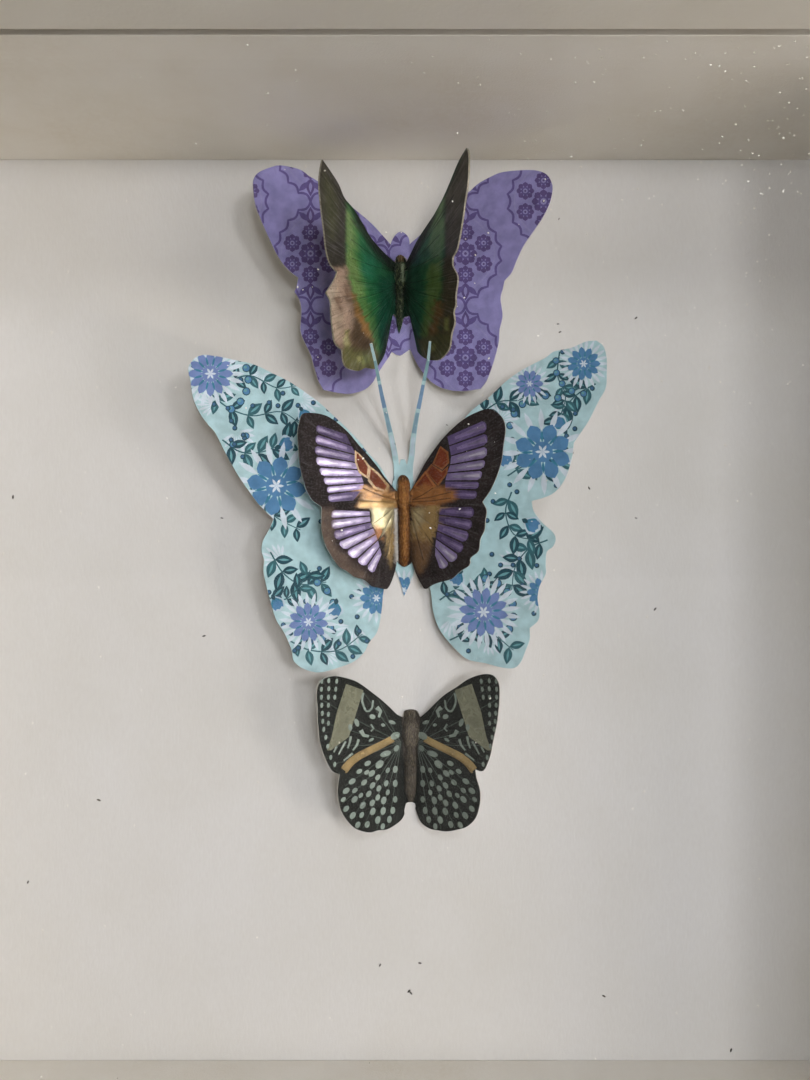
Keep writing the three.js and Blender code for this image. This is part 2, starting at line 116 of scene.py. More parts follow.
def satin_paint_on_wood():
    """Sprayed satin paint: a soft sheen with faint orange peel, and wood showing at rubbed edges."""
    material, tree, place = new_material("satin_paint_on_wood")
    pools = add_node(tree, "ShaderNodeTexNoise", {"Vector": place, "Scale": 1 / PAINT_POOL, "Detail": 3.0})
    paint = laid_over(tree, RAIL_PAINT, RAIL_PAINT_POOLED, pools, 0.35, 0.7)
    rounded = add_node(tree, "ShaderNodeBevel", {"Radius": WORN_WIDTH}, samples=4)
    flat = add_node(tree, "ShaderNodeNewGeometry", out="Normal")
    alike = add_node(tree, "ShaderNodeVectorMath", [rounded, flat], 1, operation="DOT_PRODUCT")
    edge = add_node(tree, "ShaderNodeMapRange", [alike, 0.98, 0.85])
    rubs = add_node(tree, "ShaderNodeTexNoise", {
        "Vector": place, "Scale": 1 / RUB, "Detail": 4.0, "Roughness": 0.65})
    scuffs = add_node(tree, "ShaderNodeMapRange", [rubs, 0.5, 0.68])
    worn = add_node(tree, "ShaderNodeMath", [edge, scuffs], operation="MULTIPLY")
    colour = laid_over(tree, paint, RAIL_WORN, worn)
    sheen = add_node(tree, "ShaderNodeMapRange", [pools, 0.3, 0.7, 0.38, 0.5])
    peel = add_node(tree, "ShaderNodeTexNoise", {"Vector": place, "Scale": 1 / SPRAY_GRAIN, "Detail": 1.0})
    relief = add_node(tree, "ShaderNodeBump", {"Height": peel, "Distance": 0.05 * MM})
    return surfaced(material, tree, {"Base Color": colour, "Roughness": sheen, "Normal": relief})


def finished_copy(node, material, slot, edge_round, segments=2):
    """A copy of a CAD node with merged corners and softened edges, which stands for that node."""
    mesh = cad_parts[node].data.copy()
    shape = bmesh.new()
    shape.from_mesh(mesh)
    bmesh.ops.remove_doubles(shape, verts=shape.verts, dist=0.002 * MM)
    bmesh.ops.dissolve_limit(shape, angle_limit=math.radians(0.5), verts=shape.verts, edges=shape.edges)
    bmesh.ops.recalc_face_normals(shape, faces=shape.faces)
    shape.to_mesh(mesh)
    shape.free()
    rough = bpy.data.objects.new(node + "_rough", mesh)
    bpy.context.scene.collection.objects.link(rough)
    softened = rough.modifiers.new("edges", "BEVEL")
    softened.width = edge_round
    softened.segments = segments
    softened.limit_method = "ANGLE"
    softened.angle_limit = math.radians(30)
    softened.harden_normals = True
    graph = bpy.context.evaluated_depsgraph_get()
    finished = bpy.data.meshes.new_from_object(rough.evaluated_get(graph))
    bpy.data.objects.remove(rough)
    return add_piece(node + "_finished", finished, [material], slot, node)


def add_piece(name, mesh, materials, slot, *nodes):
    """A finished mesh as a piece of the object that rides on its one body."""
    mesh.materials.clear()
    for material in materials:
        mesh.materials.append(material)
    piece = bpy.data.objects.new(name, mesh)
    bpy.context.scene.collection.objects.link(piece)
    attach(piece, "root")
    if nodes:
        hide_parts(*nodes)
    return piece


rail_paint = satin_paint_on_wood()
for name in RAILS:
    finished_copy(name, rail_paint, "painted_rail", RAIL_EDGE_ROUND)

# Liner boards: four strips of off-white matt board glued inside the rails, between pane and card.
# They have a fine tooth, and a brownish dusty bloom where damp and dust have settled.
LINER_WHITE = "e8e4dc"
LINER_DUSTY = "dad2c3"
LINER_GRAIN = 0.5 * MM
DUST_CLOUD = 28 * MM
DUST_SPECK = 0.9 * MM
LINERS = ("liner_top", "liner_bottom", "liner_left", "liner_right")


def matt_board():
    """Uncoated board: no sheen, a fine fibrous tooth and a cloudy bloom of dust."""
    material, tree, place = new_material("matt_liner_board")
    clouds = add_node(tree, "ShaderNodeTexNoise", {
        "Vector": place, "Scale": 1 / DUST_CLOUD, "Detail": 3.0, "Roughness": 0.6})
    specks = add_node(tree, "ShaderNodeTexNoise", {
        "Vector": place, "Scale": 1 / DUST_SPECK, "Detail": 3.0, "Roughness": 0.7})
    bloom = add_node(tree, "ShaderNodeMapRange", [clouds, 0.35, 0.75])
    speckled = add_node(tree, "ShaderNodeMapRange", [specks, 0.35, 0.6, 0.4, 0.8])
    dusty = add_node(tree, "ShaderNodeMath", [bloom, speckled], operation="MULTIPLY")
    colour = laid_over(tree, LINER_WHITE, LINER_DUSTY, dusty)
    tooth = add_node(tree, "ShaderNodeTexNoise", {"Vector": place, "Scale": 1 / LINER_GRAIN, "Detail": 3.0})
    relief = add_node(tree, "ShaderNodeBump", {"Height": tooth, "Distance": 0.06 * MM})
    return surfaced(material, tree, {"Base Color": colour, "Roughness": 0.85, "Normal": relief})


liner_board = matt_board()
for name in LINERS:
    finished_copy(name, liner_board, "liner_board", 0.25 * MM)

# Mount card: a sheet of smooth white card behind the liner, the ground that the butterflies are
# glued to. It is matt, very slightly warm, with a faint tooth and old smudges.
CARD_WHITE = "dad8d5"
CARD_WARM = "d2cfc8"
CARD_FIBRE = "c2bcb5"
CARD_GRAIN = 0.45 * MM
CARD_SMUDGE = 60 * MM


def mount_card_paper():
    """Smooth mount card: matt white, faintly clouded, with a fine tooth that only shows up close."""
    material, tree, place = new_material("smooth_mount_card")
    clouds = add_node(tree, "ShaderNodeTexNoise", {
        "Vector": place, "Scale": 1 / CARD_SMUDGE, "Detail": 4.0, "Roughness": 0.6})
    smudged = laid_over(tree, CARD_WHITE, CARD_WARM, clouds, 0.35, 0.75)
    along = add_node(tree, "ShaderNodeMapping", {
        "Vector": place, "Scale": (1 / CARD_GRAIN, 1 / CARD_GRAIN, 0.35 / CARD_GRAIN)})
    fibres = add_node(tree, "ShaderNodeTexNoise", {"Vector": along, "Scale": 1.0, "Detail": 4.0})
    colour = laid_over(tree, smudged, CARD_FIBRE, fibres, 0.3, 0.75, 0.25)
    relief = add_node(tree, "ShaderNodeBump", {"Height": fibres, "Distance": 0.04 * MM})
    return surfaced(material, tree, {"Base Color": colour, "Roughness": 0.8, "Normal": relief})


finished_copy("mount_card", mount_card_paper(), "mount_card", 0.2 * MM)

# Picture glass: a clear pane held between lip and liner. It shows only as a faint shine that grows
# towards a slant, and by the dust on it.
GLASS_CLEAR = "fefefe"
GLASS_SHINE = "ffffff"
SHINE_STRAIGHT_ON = 0.018
SMEAR = 35 * MM


def picture_glass():
    """Thin clear float glass: light passes straight through, and a few per cent shines back, more
    at a slant, by the same rule from either side."""
    material, tree, place = new_material("clear_float_glass")
    through = add_node(tree, "ShaderNodeBsdfTransparent", {"Color": GLASS_CLEAR})
    smears = add_node(tree, "ShaderNodeTexNoise", {"Vector": place, "Scale": 1 / SMEAR, "Detail": 4.0})
    blur = add_node(tree, "ShaderNodeMapRange", [smears, 0.3, 0.7, 0.02, 0.08])
    shine = add_node(tree, "ShaderNodeBsdfGlossy", {"Color": GLASS_SHINE, "Roughness": blur})
    slant = add_node(tree, "ShaderNodeLayerWeight", {"Blend": 0.5}, "Facing")
    steep = add_node(tree, "ShaderNodeMath", [slant, 5.0], operation="POWER")
    shining = add_node(tree, "ShaderNodeMapRange", [steep, 0.0, 1.0, SHINE_STRAIGHT_ON, 1.0])
    mixed = add_node(tree, "ShaderNodeMixShader", [shining, through, shine])
    add_node(tree, "ShaderNodeOutputMaterial", [mixed])
    return material


finished_copy("glass_pane", picture_glass(), "clear_pane", 0.2 * MM)

# Cut and folded butterflies: each is one sheet of paper or thin card, cut out with scissors or a
# die, creased beside the body so that the wings spring up, and glued down at the body. White paper
# shows at the cut edge.
EYE_DISTANCE = 202.75 * MM
PIXEL = 0.25 * MM
EYE_PIXEL = np.array([405.0, 540.0])
EYE_HEIGHT = 145 * MM
SEEING_ROUNDS = 12
SHEET_THICKNESS = 0.4 * MM
SPRING_LENGTH = 1.2 * MM
CARD_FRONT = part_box("mount_card")[0].y
BARE_PAPER = "e4e1da"
BARE_PAPER_DULL = "d2cdc2"
PAPER_FIBRE = 0.5 * MM
VEIN = "0d2418"
VEIN_SHADE = 0.45
BODY_FINENESS = 0.33
CREASE_LINES = (0, 0.3, 0.7, 1.3, 2.0, 3.0)
PRINT_GRAIN = 0.45 * MM
PRINT_PATCH = 2.6 * MM
PATCH_SHADE = "8c8c8c"
RAY_SCALE = (46, 170, 3)
RAY_SHADE = "6e6a70"
PALE_HAZE = "ffffff"
HAIR = 0.3 * MM


def catmull(points, step):
    """A smooth curve through a run of pixels, with a point about every step pixels, end left out."""
    p = np.array(points, float)
    ends = np.vstack([2 * p[0] - p[1], p, 2 * p[-1] - p[-2]])
    curve = []
    for a, b, c, d in zip(ends, ends[1:], ends[2:], ends[3:]):
        count = max(1, round(float(np.linalg.norm(c - b)) / step))
        for t in np.arange(count) / count:
            curve.append(0.5 * (2 * b + (c - a) * t + (2 * a - 5 * b + 4 * c - d) * t ** 2
                                + (3 * b - a - 3 * c + d) * t ** 3))
    return curve


def closed_outline(runs, step=3.0):
    """One closed outline from its runs, which meet at corners."""
    return np.array([point for run in runs for point in catmull(run, step)])


def wing_lift(sheet, x, z):
    """Height of a folded sheet's underside above the card."""
    distance = np.maximum(0.0, np.abs(x - sheet["body_x"]) - sheet["glued_half"])
    spring = sheet["spring"] * (1 - np.exp(-distance / SPRING_LENGTH))
    rise = np.where(x > sheet["body_x"], sheet["right_rise"], sheet["left_rise"])
    part = distance / (sheet["reach"] - sheet["glued_half"])
    lift = sheet["base"] + spring + rise * part ** sheet["curl"]
    if "antenna_root" in sheet:
        above = np.maximum(0.0, z - sheet["antenna_root"]) / sheet["antenna_length"]
        near = np.abs(x - sheet["body_x"]) < sheet["antenna_spread"]
        lift = np.where(near & (above > 0), sheet["antenna_rise"] * above ** 1.2, lift)
    return lift


def on_sheet(sheet, pixels):
    """Real X and Z of points of a sheet, given as they are seen, in pixels of the picture: on the card
    a pixel is PIXEL wide, and what stands nearer to the eye looks larger by perspective."""
    seen = (np.atleast_2d(np.asarray(pixels, float)) - EYE_PIXEL) * (PIXEL, -PIXEL)
    scale = np.ones(len(seen))
    for _ in range(SEEING_ROUNDS):
        scale = 1 - wing_lift(sheet, seen[:, 0] * scale, EYE_HEIGHT + seen[:, 1] * scale) / EYE_DISTANCE
    return np.column_stack([seen[:, 0] * scale, EYE_HEIGHT + seen[:, 1] * scale])


def body_relief(sheet, x, z):
    """How far the pressed body stands up from the sheet: rounded lobes, ringed on the abdomen."""
    relief = np.zeros(len(x))
    for lobe_x, top, bottom, half_width, height, rings in sheet["lobes"]:
        centre_x = (lobe_x - EYE_PIXEL[0]) * PIXEL
        high = EYE_HEIGHT + (EYE_PIXEL[1] - top) * PIXEL
        low = EYE_HEIGHT + (EYE_PIXEL[1] - bottom) * PIXEL
        across = (x - centre_x) / (half_width * MM)
        along = (z - (high + low) / 2) / ((high - low) / 2)
        dome = np.sqrt(np.maximum(0.0, 1 - across ** 2 - along ** 2))
        groove = 1 - 0.09 * np.abs(np.sin(np.pi * rings * (along + 1) / 2)) ** 6 if rings else 1.0
        relief = np.maximum(relief, height * MM * dome * groove)
    return relief


def counterclockwise(shape):
    """The shape with its points running counterclockwise, as the cutter wants them."""
    x, y = shape[:, 0], shape[:, 1]
    area = np.dot(x, np.roll(y, -1)) - np.dot(y, np.roll(x, -1))
    return shape if area > 0 else shape[::-1]


def grid_points(low, high, step):
    """Points of a triangular grid over a box."""
    points = []
    for row, z in enumerate(np.arange(low[1], high[1], step * 0.87)):
        for x in np.arange(low[0] + (row % 2) * step / 2, high[0], step):
            points.append((x, z))
    return points


def inside(points, outline):
    """Which points lie inside a closed outline."""
    points = np.asarray(points)
    x, y = points[:, 0], points[:, 1]
    hit = np.zeros(len(points), bool)
    for (x1, y1), (x2, y2) in zip(outline, np.roll(outline, -1, axis=0)):
        if y1 == y2:
            continue
        crosses = (y1 > y) != (y2 > y)
        hit ^= crosses & (x < (x2 - x1) * (y - y1) / (y2 - y1) + x1)
    return hit


def depth_inside(points, outline):
    """Distance of points to a closed outline, positive inside it."""
    points = np.asarray(points, float)
    nearest = np.full(len(points), 1e9)
    for a, b in zip(outline, np.roll(outline, -1, axis=0)):
        run = b - a
        t = np.clip((points - a) @ run / max(1e-9, run @ run), 0, 1)
        nearest = np.minimum(nearest, np.linalg.norm(points - a - t[:, None] * run, axis=1))
    return np.where(inside(points, outline), nearest, -nearest)


def washed(colours, seen, washes, root, seed=5):
    """Colours of points with soft inks laid over them in turn: print, and on some wings and bodies painted
    highlights and shade. A wash is its ink, its outline, how softly its border fades and how far fine
    streaks along the wing's rays carry it in or out."""
    rng = np.random.default_rng(seed)
    rays = rng.random(400)
    away = seen - np.array(root, float)
    turn = (np.arctan2(away[:, 1], np.abs(away[:, 0])) + math.pi) / (2 * math.pi) * 330
    base = np.floor(turn).astype(int)
    streak = rays[base] * (1 - turn + base) + rays[base + 1] * (turn - base) - 0.5
    for ink, outline, softness, feather in washes:
        depth = depth_inside(seen, np.array(outline, float)) + feather * 2 * streak
        amount = np.clip(0.5 + depth / (2 * softness), 0, 1)
        amount = (amount * amount * (3 - 2 * amount))[:, None]
        colours = colours * (1 - amount) + np.array(linear(ink)) * amount
    return colours


def divided(sheet, shapes, fineness):
    """The flat sheet, cut into triangles along every shape. Gives its points, its triangles, and the
    number of the topmost shape that each triangle lies in."""
    low, high = shapes[0].min(0), shapes[0].max(0)
    loose = grid_points(low, high, fineness)
    for lobe_x, top, bottom, half_width, _, _ in sheet["lobes"]:
        corners = on_sheet(sheet, [(lobe_x, bottom), (lobe_x, top)]) / MM
        margin = (half_width + 0.4, 0.3)
        loose += grid_points(corners[0] - margin, corners[1] + margin, BODY_FINENESS)
    for side in (-1, 1):
        crease = (sheet["body_x"] + side * sheet["glued_half"]) / MM
        for away in CREASE_LINES:
            loose += [(crease + side * away, z) for z in np.arange(low[1], high[1], 0.9)]
    loose = np.array(loose)
    loose = loose[inside(loose, shapes[0])]
    points = [tuple(p) for shape in shapes for p in shape] + [tuple(p) for p in loose]
    rings, start = [], 0
    for shape in shapes:
        rings.append(list(range(start, start + len(shape))))
        start += len(shape)
    cut = delaunay_2d_cdt(points, [], rings, 1, 1e-4)
    kept = [(triangle, max(owners)) for triangle, owners in zip(cut[2], cut[5]) if 0 in owners]
    used = sorted({i for triangle, _ in kept for i in triangle})
    number = {old: new for new, old in enumerate(used)}
    flat = (np.array([tuple(v) for v in cut[0]]) * MM)[used]
    return flat, [[number[i] for i in triangle] for triangle, _ in kept], [owner for _, owner in kept]


def bent(sheet, flat):
    """The sheet's points on its fold, first the face and then the underside, with the height of the
    pressed body and of the fold at each."""
    x, z = flat[:, 0], flat[:, 1]
    lift = wing_lift(sheet, x, z)
    probe = 0.01 * MM
    slope_x = (wing_lift(sheet, x + probe, z) - wing_lift(sheet, x - probe, z)) / (2 * probe)
    slope_z = (wing_lift(sheet, x, z + probe) - wing_lift(sheet, x, z - probe)) / (2 * probe)
    normal = np.column_stack([-slope_x, -np.ones(len(x)), -slope_z])
    normal /= np.linalg.norm(normal, axis=1)[:, None]
    under = np.column_stack([x, CARD_FRONT - lift, z])
    face = under + normal * SHEET_THICKNESS
    raised = body_relief(sheet, x, z)
    face[:, 1] -= raised
    return np.vstack([face, under]), raised, lift


def closed(flat, flat_triangles, owners, inks, edge_ink):
    """Triangles of the face, the underside and the cut edge, each with its surface, which is 0, 1 or
    2, and its ink."""
    count = len(flat)
    triangles, surfaces, ink_of, edges = [], [], [], {}
    for (a, b, c), owner in zip(flat_triangles, owners):
        (ax, az), (bx, bz), (cx, cz) = flat[a], flat[b], flat[c]
        if (bx - ax) * (cz - az) - (cx - ax) * (bz - az) < 0:
            b, c = c, b
        triangles += [(a, b, c), (a + count, c + count, b + count)]
        surfaces += [0, 1]
        ink_of += [inks[owner], BARE_PAPER]
        edges.update(dict.fromkeys([(a, b), (b, c), (c, a)]))
    for a, b in edges:
        if (b, a) not in edges:
            triangles += [(b, a, a + count), (b, a + count, b + count)]
            surfaces += [2, 2]
            ink_of += [edge_ink, edge_ink]
    return triangles, np.array(surfaces), ink_of


def printed_sheet(name, sheet, outline, prints, materials, slot, fineness=1.3, washes=()):
    """A cut sheet with its print inlaid: the sheet is divided along every printed shape, so each
    triangle has one ink, then bent to its fold and given its thickness and white cut edge."""
    shapes = [counterclockwise(on_sheet(sheet, shape) / MM) for shape in [outline] + [p for _, p in prints]]
    flat, flat_triangles, owners = divided(sheet, shapes, fineness)
    corners, raised, lift = bent(sheet, flat)
    inks = [sheet["ground"]] + [ink for ink, _ in prints]
    triangles, surfaces, ink_of = closed(flat, flat_triangles, owners, inks, sheet["edge"])
    mesh = bpy.data.meshes.new(name)
    mesh.from_pydata([tuple(p) for p in corners], [], triangles)
    mesh.polygons.foreach_set("material_index", surfaces % 2)
    colours = np.repeat([linear(ink) for ink in ink_of], 3, axis=0)
    if washes:
        front = np.repeat(surfaces == 0, 3)
        scale = (1 - lift / EYE_DISTANCE)[:, None]
        seen = (flat - (0, EYE_HEIGHT)) * (1, -1) / scale / PIXEL + EYE_PIXEL
        corner = np.array(triangles).ravel()[front]
        colours[front] = washed(colours[front], seen[corner], washes, sheet["root"])
        veined = np.repeat([ink == VEIN for ink in ink_of], 3)
        colours[veined, :3] *= VEIN_SHADE
    away = corners[:, [0, 2]] - on_sheet(sheet, [sheet["root"]])[0]
    angle = np.arctan2(away[:, 1], np.abs(away[:, 0]))
    fan = np.column_stack([angle, np.hypot(away[:, 0], away[:, 1]), np.sign(away[:, 0])])
    body = np.concatenate([np.clip(raised / (0.3 * MM), 0, 1), np.zeros(len(flat))])
    for field, kind, where, part, values in [
            ("ink", "FLOAT_COLOR", "CORNER", "color", colours),
            ("fan", "FLOAT_VECTOR", "POINT", "vector", fan), ("body", "FLOAT", "POINT", "value", body)]:
        mesh.attributes.new(field, kind, where).data.foreach_set(part, values.ravel())
    mesh.shade_smooth()
    mesh.update()
    loop_edges = np.zeros(len(mesh.loops), int)
    mesh.loops.foreach_get("edge_index", loop_edges)
    on_rim = np.repeat(surfaces == 2, 3)
    beside_rim = np.bincount(loop_edges, on_rim, len(mesh.edges)) > 0
    beside_face = np.bincount(loop_edges, ~on_rim, len(mesh.edges)) > 0
    mesh.attributes.new("sharp_edge", "BOOLEAN", "EDGE").data.foreach_set("value", beside_rim & beside_face)
    add_piece(name + "_sheet", mesh, materials, slot, name)


def bare_paper_edge():
    """The uncoated back of the sheets: matt, slightly fibrous white paper."""
    material, tree, place = new_material("bare_paper_back")
    fibres = add_node(tree, "ShaderNodeTexNoise", {"Vector": place, "Scale": 1 / PAPER_FIBRE, "Detail": 4.0})
    colour = laid_over(tree, BARE_PAPER, BARE_PAPER_DULL, fibres, 0.3, 0.7)
    relief = add_node(tree, "ShaderNodeBump", {"Height": fibres, "Distance": 0.03 * MM})
    return surfaced(material, tree, {"Base Color": colour, "Roughness": 0.85, "Normal": relief})


def printed_paper(name, dark_roughness, gloss_roughness, mottle, streak=0.0, foil=0.0, varnish=0.0,
                  hairs=None):
    """Ink on paper: the inlaid ink, mottled as a print is, with a fine tooth and a sheen that varies
    with the ink. Printed wings are streaked along their rays, foil and varnish shine on the light
    inks, and pressed bodies are furry, with dark and light hairs."""
    material, tree, place = new_material(name)
    ink = add_node(tree, "ShaderNodeAttribute", out="Color", attribute_name="ink")
    grain = add_node(tree, "ShaderNodeTexNoise", {
        "Vector": place, "Scale": 1 / PRINT_GRAIN, "Detail": 3.0, "Roughness": 0.7})
    patches = add_node(tree, "ShaderNodeTexNoise", {"Vector": place, "Scale": 1 / PRINT_PATCH, "Detail": 3.0})
    mottled = laid_over(tree, ink, PATCH_SHADE, patches, 0.35, 0.7, mottle, "MULTIPLY")
    colour = laid_over(tree, mottled, PALE_HAZE, grain, 0.5, 0.8, mottle * 0.112, "SCREEN")
    if streak:
        fan = add_node(tree, "ShaderNodeAttribute", out="Vector", attribute_name="fan")
        rays = add_node(tree, "ShaderNodeMapping", {"Vector": fan, "Scale": RAY_SCALE})
        fine = add_node(tree, "ShaderNodeTexNoise", {
            "Vector": rays, "Scale": 1.0, "Detail": 4.0, "Roughness": 0.65})
        rayed = laid_over(tree, colour, RAY_SHADE, fine, 0.5, 0.3, streak, "MULTIPLY")
        colour = laid_over(tree, rayed, PALE_HAZE, fine, 0.55, 0.75, streak * 0.2, "SCREEN")
    light = add_node(tree, "ShaderNodeRGBToBW", [ink])
    inked = add_node(tree, "ShaderNodeMapRange", [light, 0.04, 0.3, dark_roughness, gloss_roughness])
    uneven = add_node(tree, "ShaderNodeMapRange", [patches, 0.3, 0.7, -0.05, 0.07])
    sheen = add_node(tree, "ShaderNodeMath", [inked, uneven], operation="ADD")
    metal_part = add_node(tree, "ShaderNodeMapRange", [light, 0.06, 0.3, 0.0, foil])
    varnished = add_node(tree, "ShaderNodeMapRange", [light, 0.05, 0.25, 0.0, varnish])
    relief = add_node(tree, "ShaderNodeBump", {"Height": grain, "Distance": 0.03 * MM})
    if hairs:
        body = add_node(tree, "ShaderNodeAttribute", out="Fac", attribute_name="body")
        combed = add_node(tree, "ShaderNodeMapping", {
            "Vector": place, "Scale": (1.5 / HAIR, 1 / HAIR, 0.3 / HAIR)})
        fur = add_node(tree, "ShaderNodeTexNoise", {
            "Vector": combed, "Scale": 1.0, "Detail": 4.0, "Roughness": 0.6})
        dark_haired = laid_over(tree, colour, hairs[0], fur, 0.52, 0.32, 0.7)
        furry = laid_over(tree, dark_haired, hairs[1], fur, 0.52, 0.72, 0.6)
        colour = laid_over(tree, colour, furry, body)
        tufts = add_node(tree, "ShaderNodeMath", [fur, body], operation="MULTIPLY")
        relief = add_node(tree, "ShaderNodeBump", {
            "Height": tufts, "Distance": 0.16 * MM, "Normal": relief})
    return surfaced(material, tree, {
        "Base Color": colour, "Roughness": sheen, "Metallic": metal_part, "Specular IOR Level": 0.14,
        "Coat Weight": varnished, "Coat Roughness": 0.16, "Normal": relief})


bare_paper = bare_paper_edge()


def ellipse(x, y, rx, ry, turn=0.0, points=14):
    """An ellipse turned by degrees."""
    t = np.linspace(0, 2 * np.pi, points, endpoint=False)
    shape = np.column_stack([rx * np.cos(t), ry * np.sin(t)])
    return turned(shape, turn) + (x, y)


def turned(shape, degrees):
    """A shape turned about the origin."""
    a = math.radians(degrees)
    return np.asarray(shape, float) @ np.array([[math.cos(a), math.sin(a)], [-math.sin(a), math.cos(a)]])


def petal(x, y, turn, start, end, width, fullness=0.5, points=7):
    """A petal or leaf from start to end along its own axis, widest at fullness of its length."""
    t = np.linspace(0, 1, points)
    power = math.log(0.5) / math.log(fullness)
    half = width / 2 * np.sin(np.pi * t ** power)
    along = start + (end - start) * t
    shape = np.vstack([np.column_stack([along, half]), np.column_stack([along, -half])[-2:0:-1]])
    return turned(shape, turn) + (x, y)


def stroke(path, width, end_width=None):
    """A drawn line of that width along a path, thinning towards its end where end_width is given."""
    path = np.asarray(path, float)
    run = np.gradient(path, axis=0)
    run /= np.maximum(1e-6, np.linalg.norm(run, axis=1))[:, None]
    side = np.column_stack([-run[:, 1], run[:, 0]])
    half = np.linspace(width, width if end_width is None else end_width, len(path))[:, None] / 2
    return np.vstack([path + side * half, (path - side * half)[::-1]])


def arc_path(x, y, radius, start, end, points=8):
    """Points along an arc, in degrees."""
    t = np.radians(np.linspace(start, end, points))
    return np.column_stack([x + radius * np.cos(t), y + radius * np.sin(t)])


def mirrored(shape, axis_x):
    """A shape mirrored left to right about a vertical line."""
    shape = np.asarray(shape, float).copy()
    shape[:, 0] = 2 * axis_x - shape[:, 0]
    return shape


# Purple butterfly: one sheet of matt patterned paper, glued straight onto the card at the top of the
# column. Its print is a scalloped ogee with clusters of small rosettes, tone on tone.
PURPLE_GROUND = "918bbd"
PURPLE_LIGHT = "9690bf"
PURPLE_LINE = "665a8f"
PURPLE_DARK = "615283"
OGEE_WIDE = 78
OGEE_TALL = 104
purple = {
    "body_x": -1.25 * MM, "glued_half": 2.5 * MM, "base": 0.0, "reach": 34.5 * MM,
    "left_rise": 13 * MM, "right_rise": 13 * MM, "curl": 1.15, "spring": 0.5 * MM,
    "lobes": [], "root": (400, 285), "ground": PURPLE_GROUND, "edge": "c9c4cf",
    "runs": [
        [(390, 245), (395, 236), (401, 232), (408, 237), (410, 245)],
        [(410, 245), (419, 237), (435, 222), (453, 206), (470, 192), (479, 184), (492, 177), (502, 173),
         (519, 171), (536, 171), (547, 175), (552, 183), (553, 190), (550, 204), (543, 218), (535, 230),
         (526, 243), (522, 250), (517, 261), (512, 273), (505, 281)],
        [(505, 281), (503, 290), (501, 299), (503, 316), (500, 330), (499, 343), (495, 359), (491, 371),
         (487, 381), (481, 389)],
        [(481, 389), (467, 391), (454, 391), (442, 388), (433, 383), (426, 376), (420, 368), (415, 359),
         (411, 349)],
        [(411, 349), (405, 353), (400, 356), (396, 355), (392, 352)],
        [(392, 352), (387, 359), (381, 368), (376, 376), (372, 383), (364, 390), (350, 394), (337, 393),
         (323, 390)],
        [(323, 390), (318, 381), (314, 368), (310, 354), (304, 342), (300, 330), (301, 312), (299, 300),
         (294, 292)],
        [(294, 292), (296, 287), (298, 278)],
        [(298, 278), (290, 272), (281, 262), (274, 250), (268, 237), (260, 219), (255, 205), (253, 192),
         (253, 180), (257, 174), (262, 171), (270, 168), (280, 166), (299, 170), (309, 177), (316, 181),
         (335, 195), (352, 208), (371, 224), (383, 237), (390, 245)],
    ],
}


def scalloped_line(path, bumps, depth, width):
    """A line with a row of small scallops along it."""
    path = np.asarray(path, float)
    lengths = np.concatenate([[0], np.cumsum(np.linalg.norm(np.diff(path, axis=0), axis=1))])
    places = np.linspace(0, lengths[-1], bumps * 6 + 1)
    line = np.column_stack([np.interp(places, lengths, path[:, i]) for i in (0, 1)])
    run = np.gradient(line, axis=0)
    run /= np.linalg.norm(run, axis=1)[:, None]
    side = np.column_stack([-run[:, 1], run[:, 0]])
    swell = depth * np.abs(np.sin(np.pi * bumps * np.arange(len(line)) / (len(line) - 1)))
    return stroke(line + side * swell[:, None], width)


def rosette(x, y, size):
    """A small flower: a ring of round petals around a ringed eye."""
    prints = []
    for turn in range(0, 360, 45):
        prints.append((PURPLE_DARK, petal(x, y, turn, size * 0.3, size, size * 0.62, 0.62, 6)))
    prints.append((PURPLE_LINE, ellipse(x, y, size * 0.46, size * 0.46, points=10)))
    prints.append((PURPLE_LIGHT, ellipse(x, y, size * 0.28, size * 0.28, points=8)))
    prints.append((PURPLE_DARK, ellipse(x, y, size * 0.13, size * 0.13, points=6)))
    return prints


def ogee_cell(x, y):
    """One repeat of the purple paper: a scalloped ogee frame around a cluster of small rosettes."""
    prints = []
    for side in (-1, 1):
        t = np.linspace(0, 1, 13)
        bulge = np.sin(np.pi * t) ** 0.8 * OGEE_WIDE * 0.47
        frame_line = np.column_stack([x + side * bulge, y - OGEE_TALL / 2 + OGEE_TALL * t])
        prints.append((PURPLE_LINE, scalloped_line(frame_line, 9, 3.5 * side, 2.4)))
        inner = np.column_stack([x + side * bulge * 0.8, y - OGEE_TALL * 0.38 + OGEE_TALL * 0.76 * t])
        prints.append((PURPLE_LIGHT, stroke(inner, 1.6)))
    rosettes = [(0, 0, 12)] + [(21 * math.cos(a), 21 * math.sin(a), 9)
                               for a in np.radians(np.arange(30, 390, 60))]
    for dx, dy, size in rosettes:
        prints += rosette(x + dx, y + dy, size)
    for sign in (-1, 1):
        tip = y + sign * 35
        prints.append((PURPLE_DARK, petal(x, tip, 90 * sign, -6, 12, 9, 0.4)))
        prints.append((PURPLE_GROUND, petal(x, tip, 90 * sign, -2, 8, 3.5, 0.4)))
        for lean in (-48, 48):
            prints.append((PURPLE_LINE, petal(x, tip - sign * 4, 90 * sign + lean, 2, 16, 5.5, 0.5)))
    return prints


purple_outline = closed_outline(purple["runs"])
purple_prints = []
for row in range(-1, 5):
    for column in range(-1, 6):
        if (row + column) % 2:
            purple_prints += ogee_cell(232 + column * OGEE_WIDE, 150 + row * OGEE_TALL / 2)
printed_sheet("butterfly_purple", purple, purple_outline, purple_prints,
              [printed_paper("matt_patterned_purple_paper", 0.65, 0.6, 0.35), bare_paper], "purple_paper")
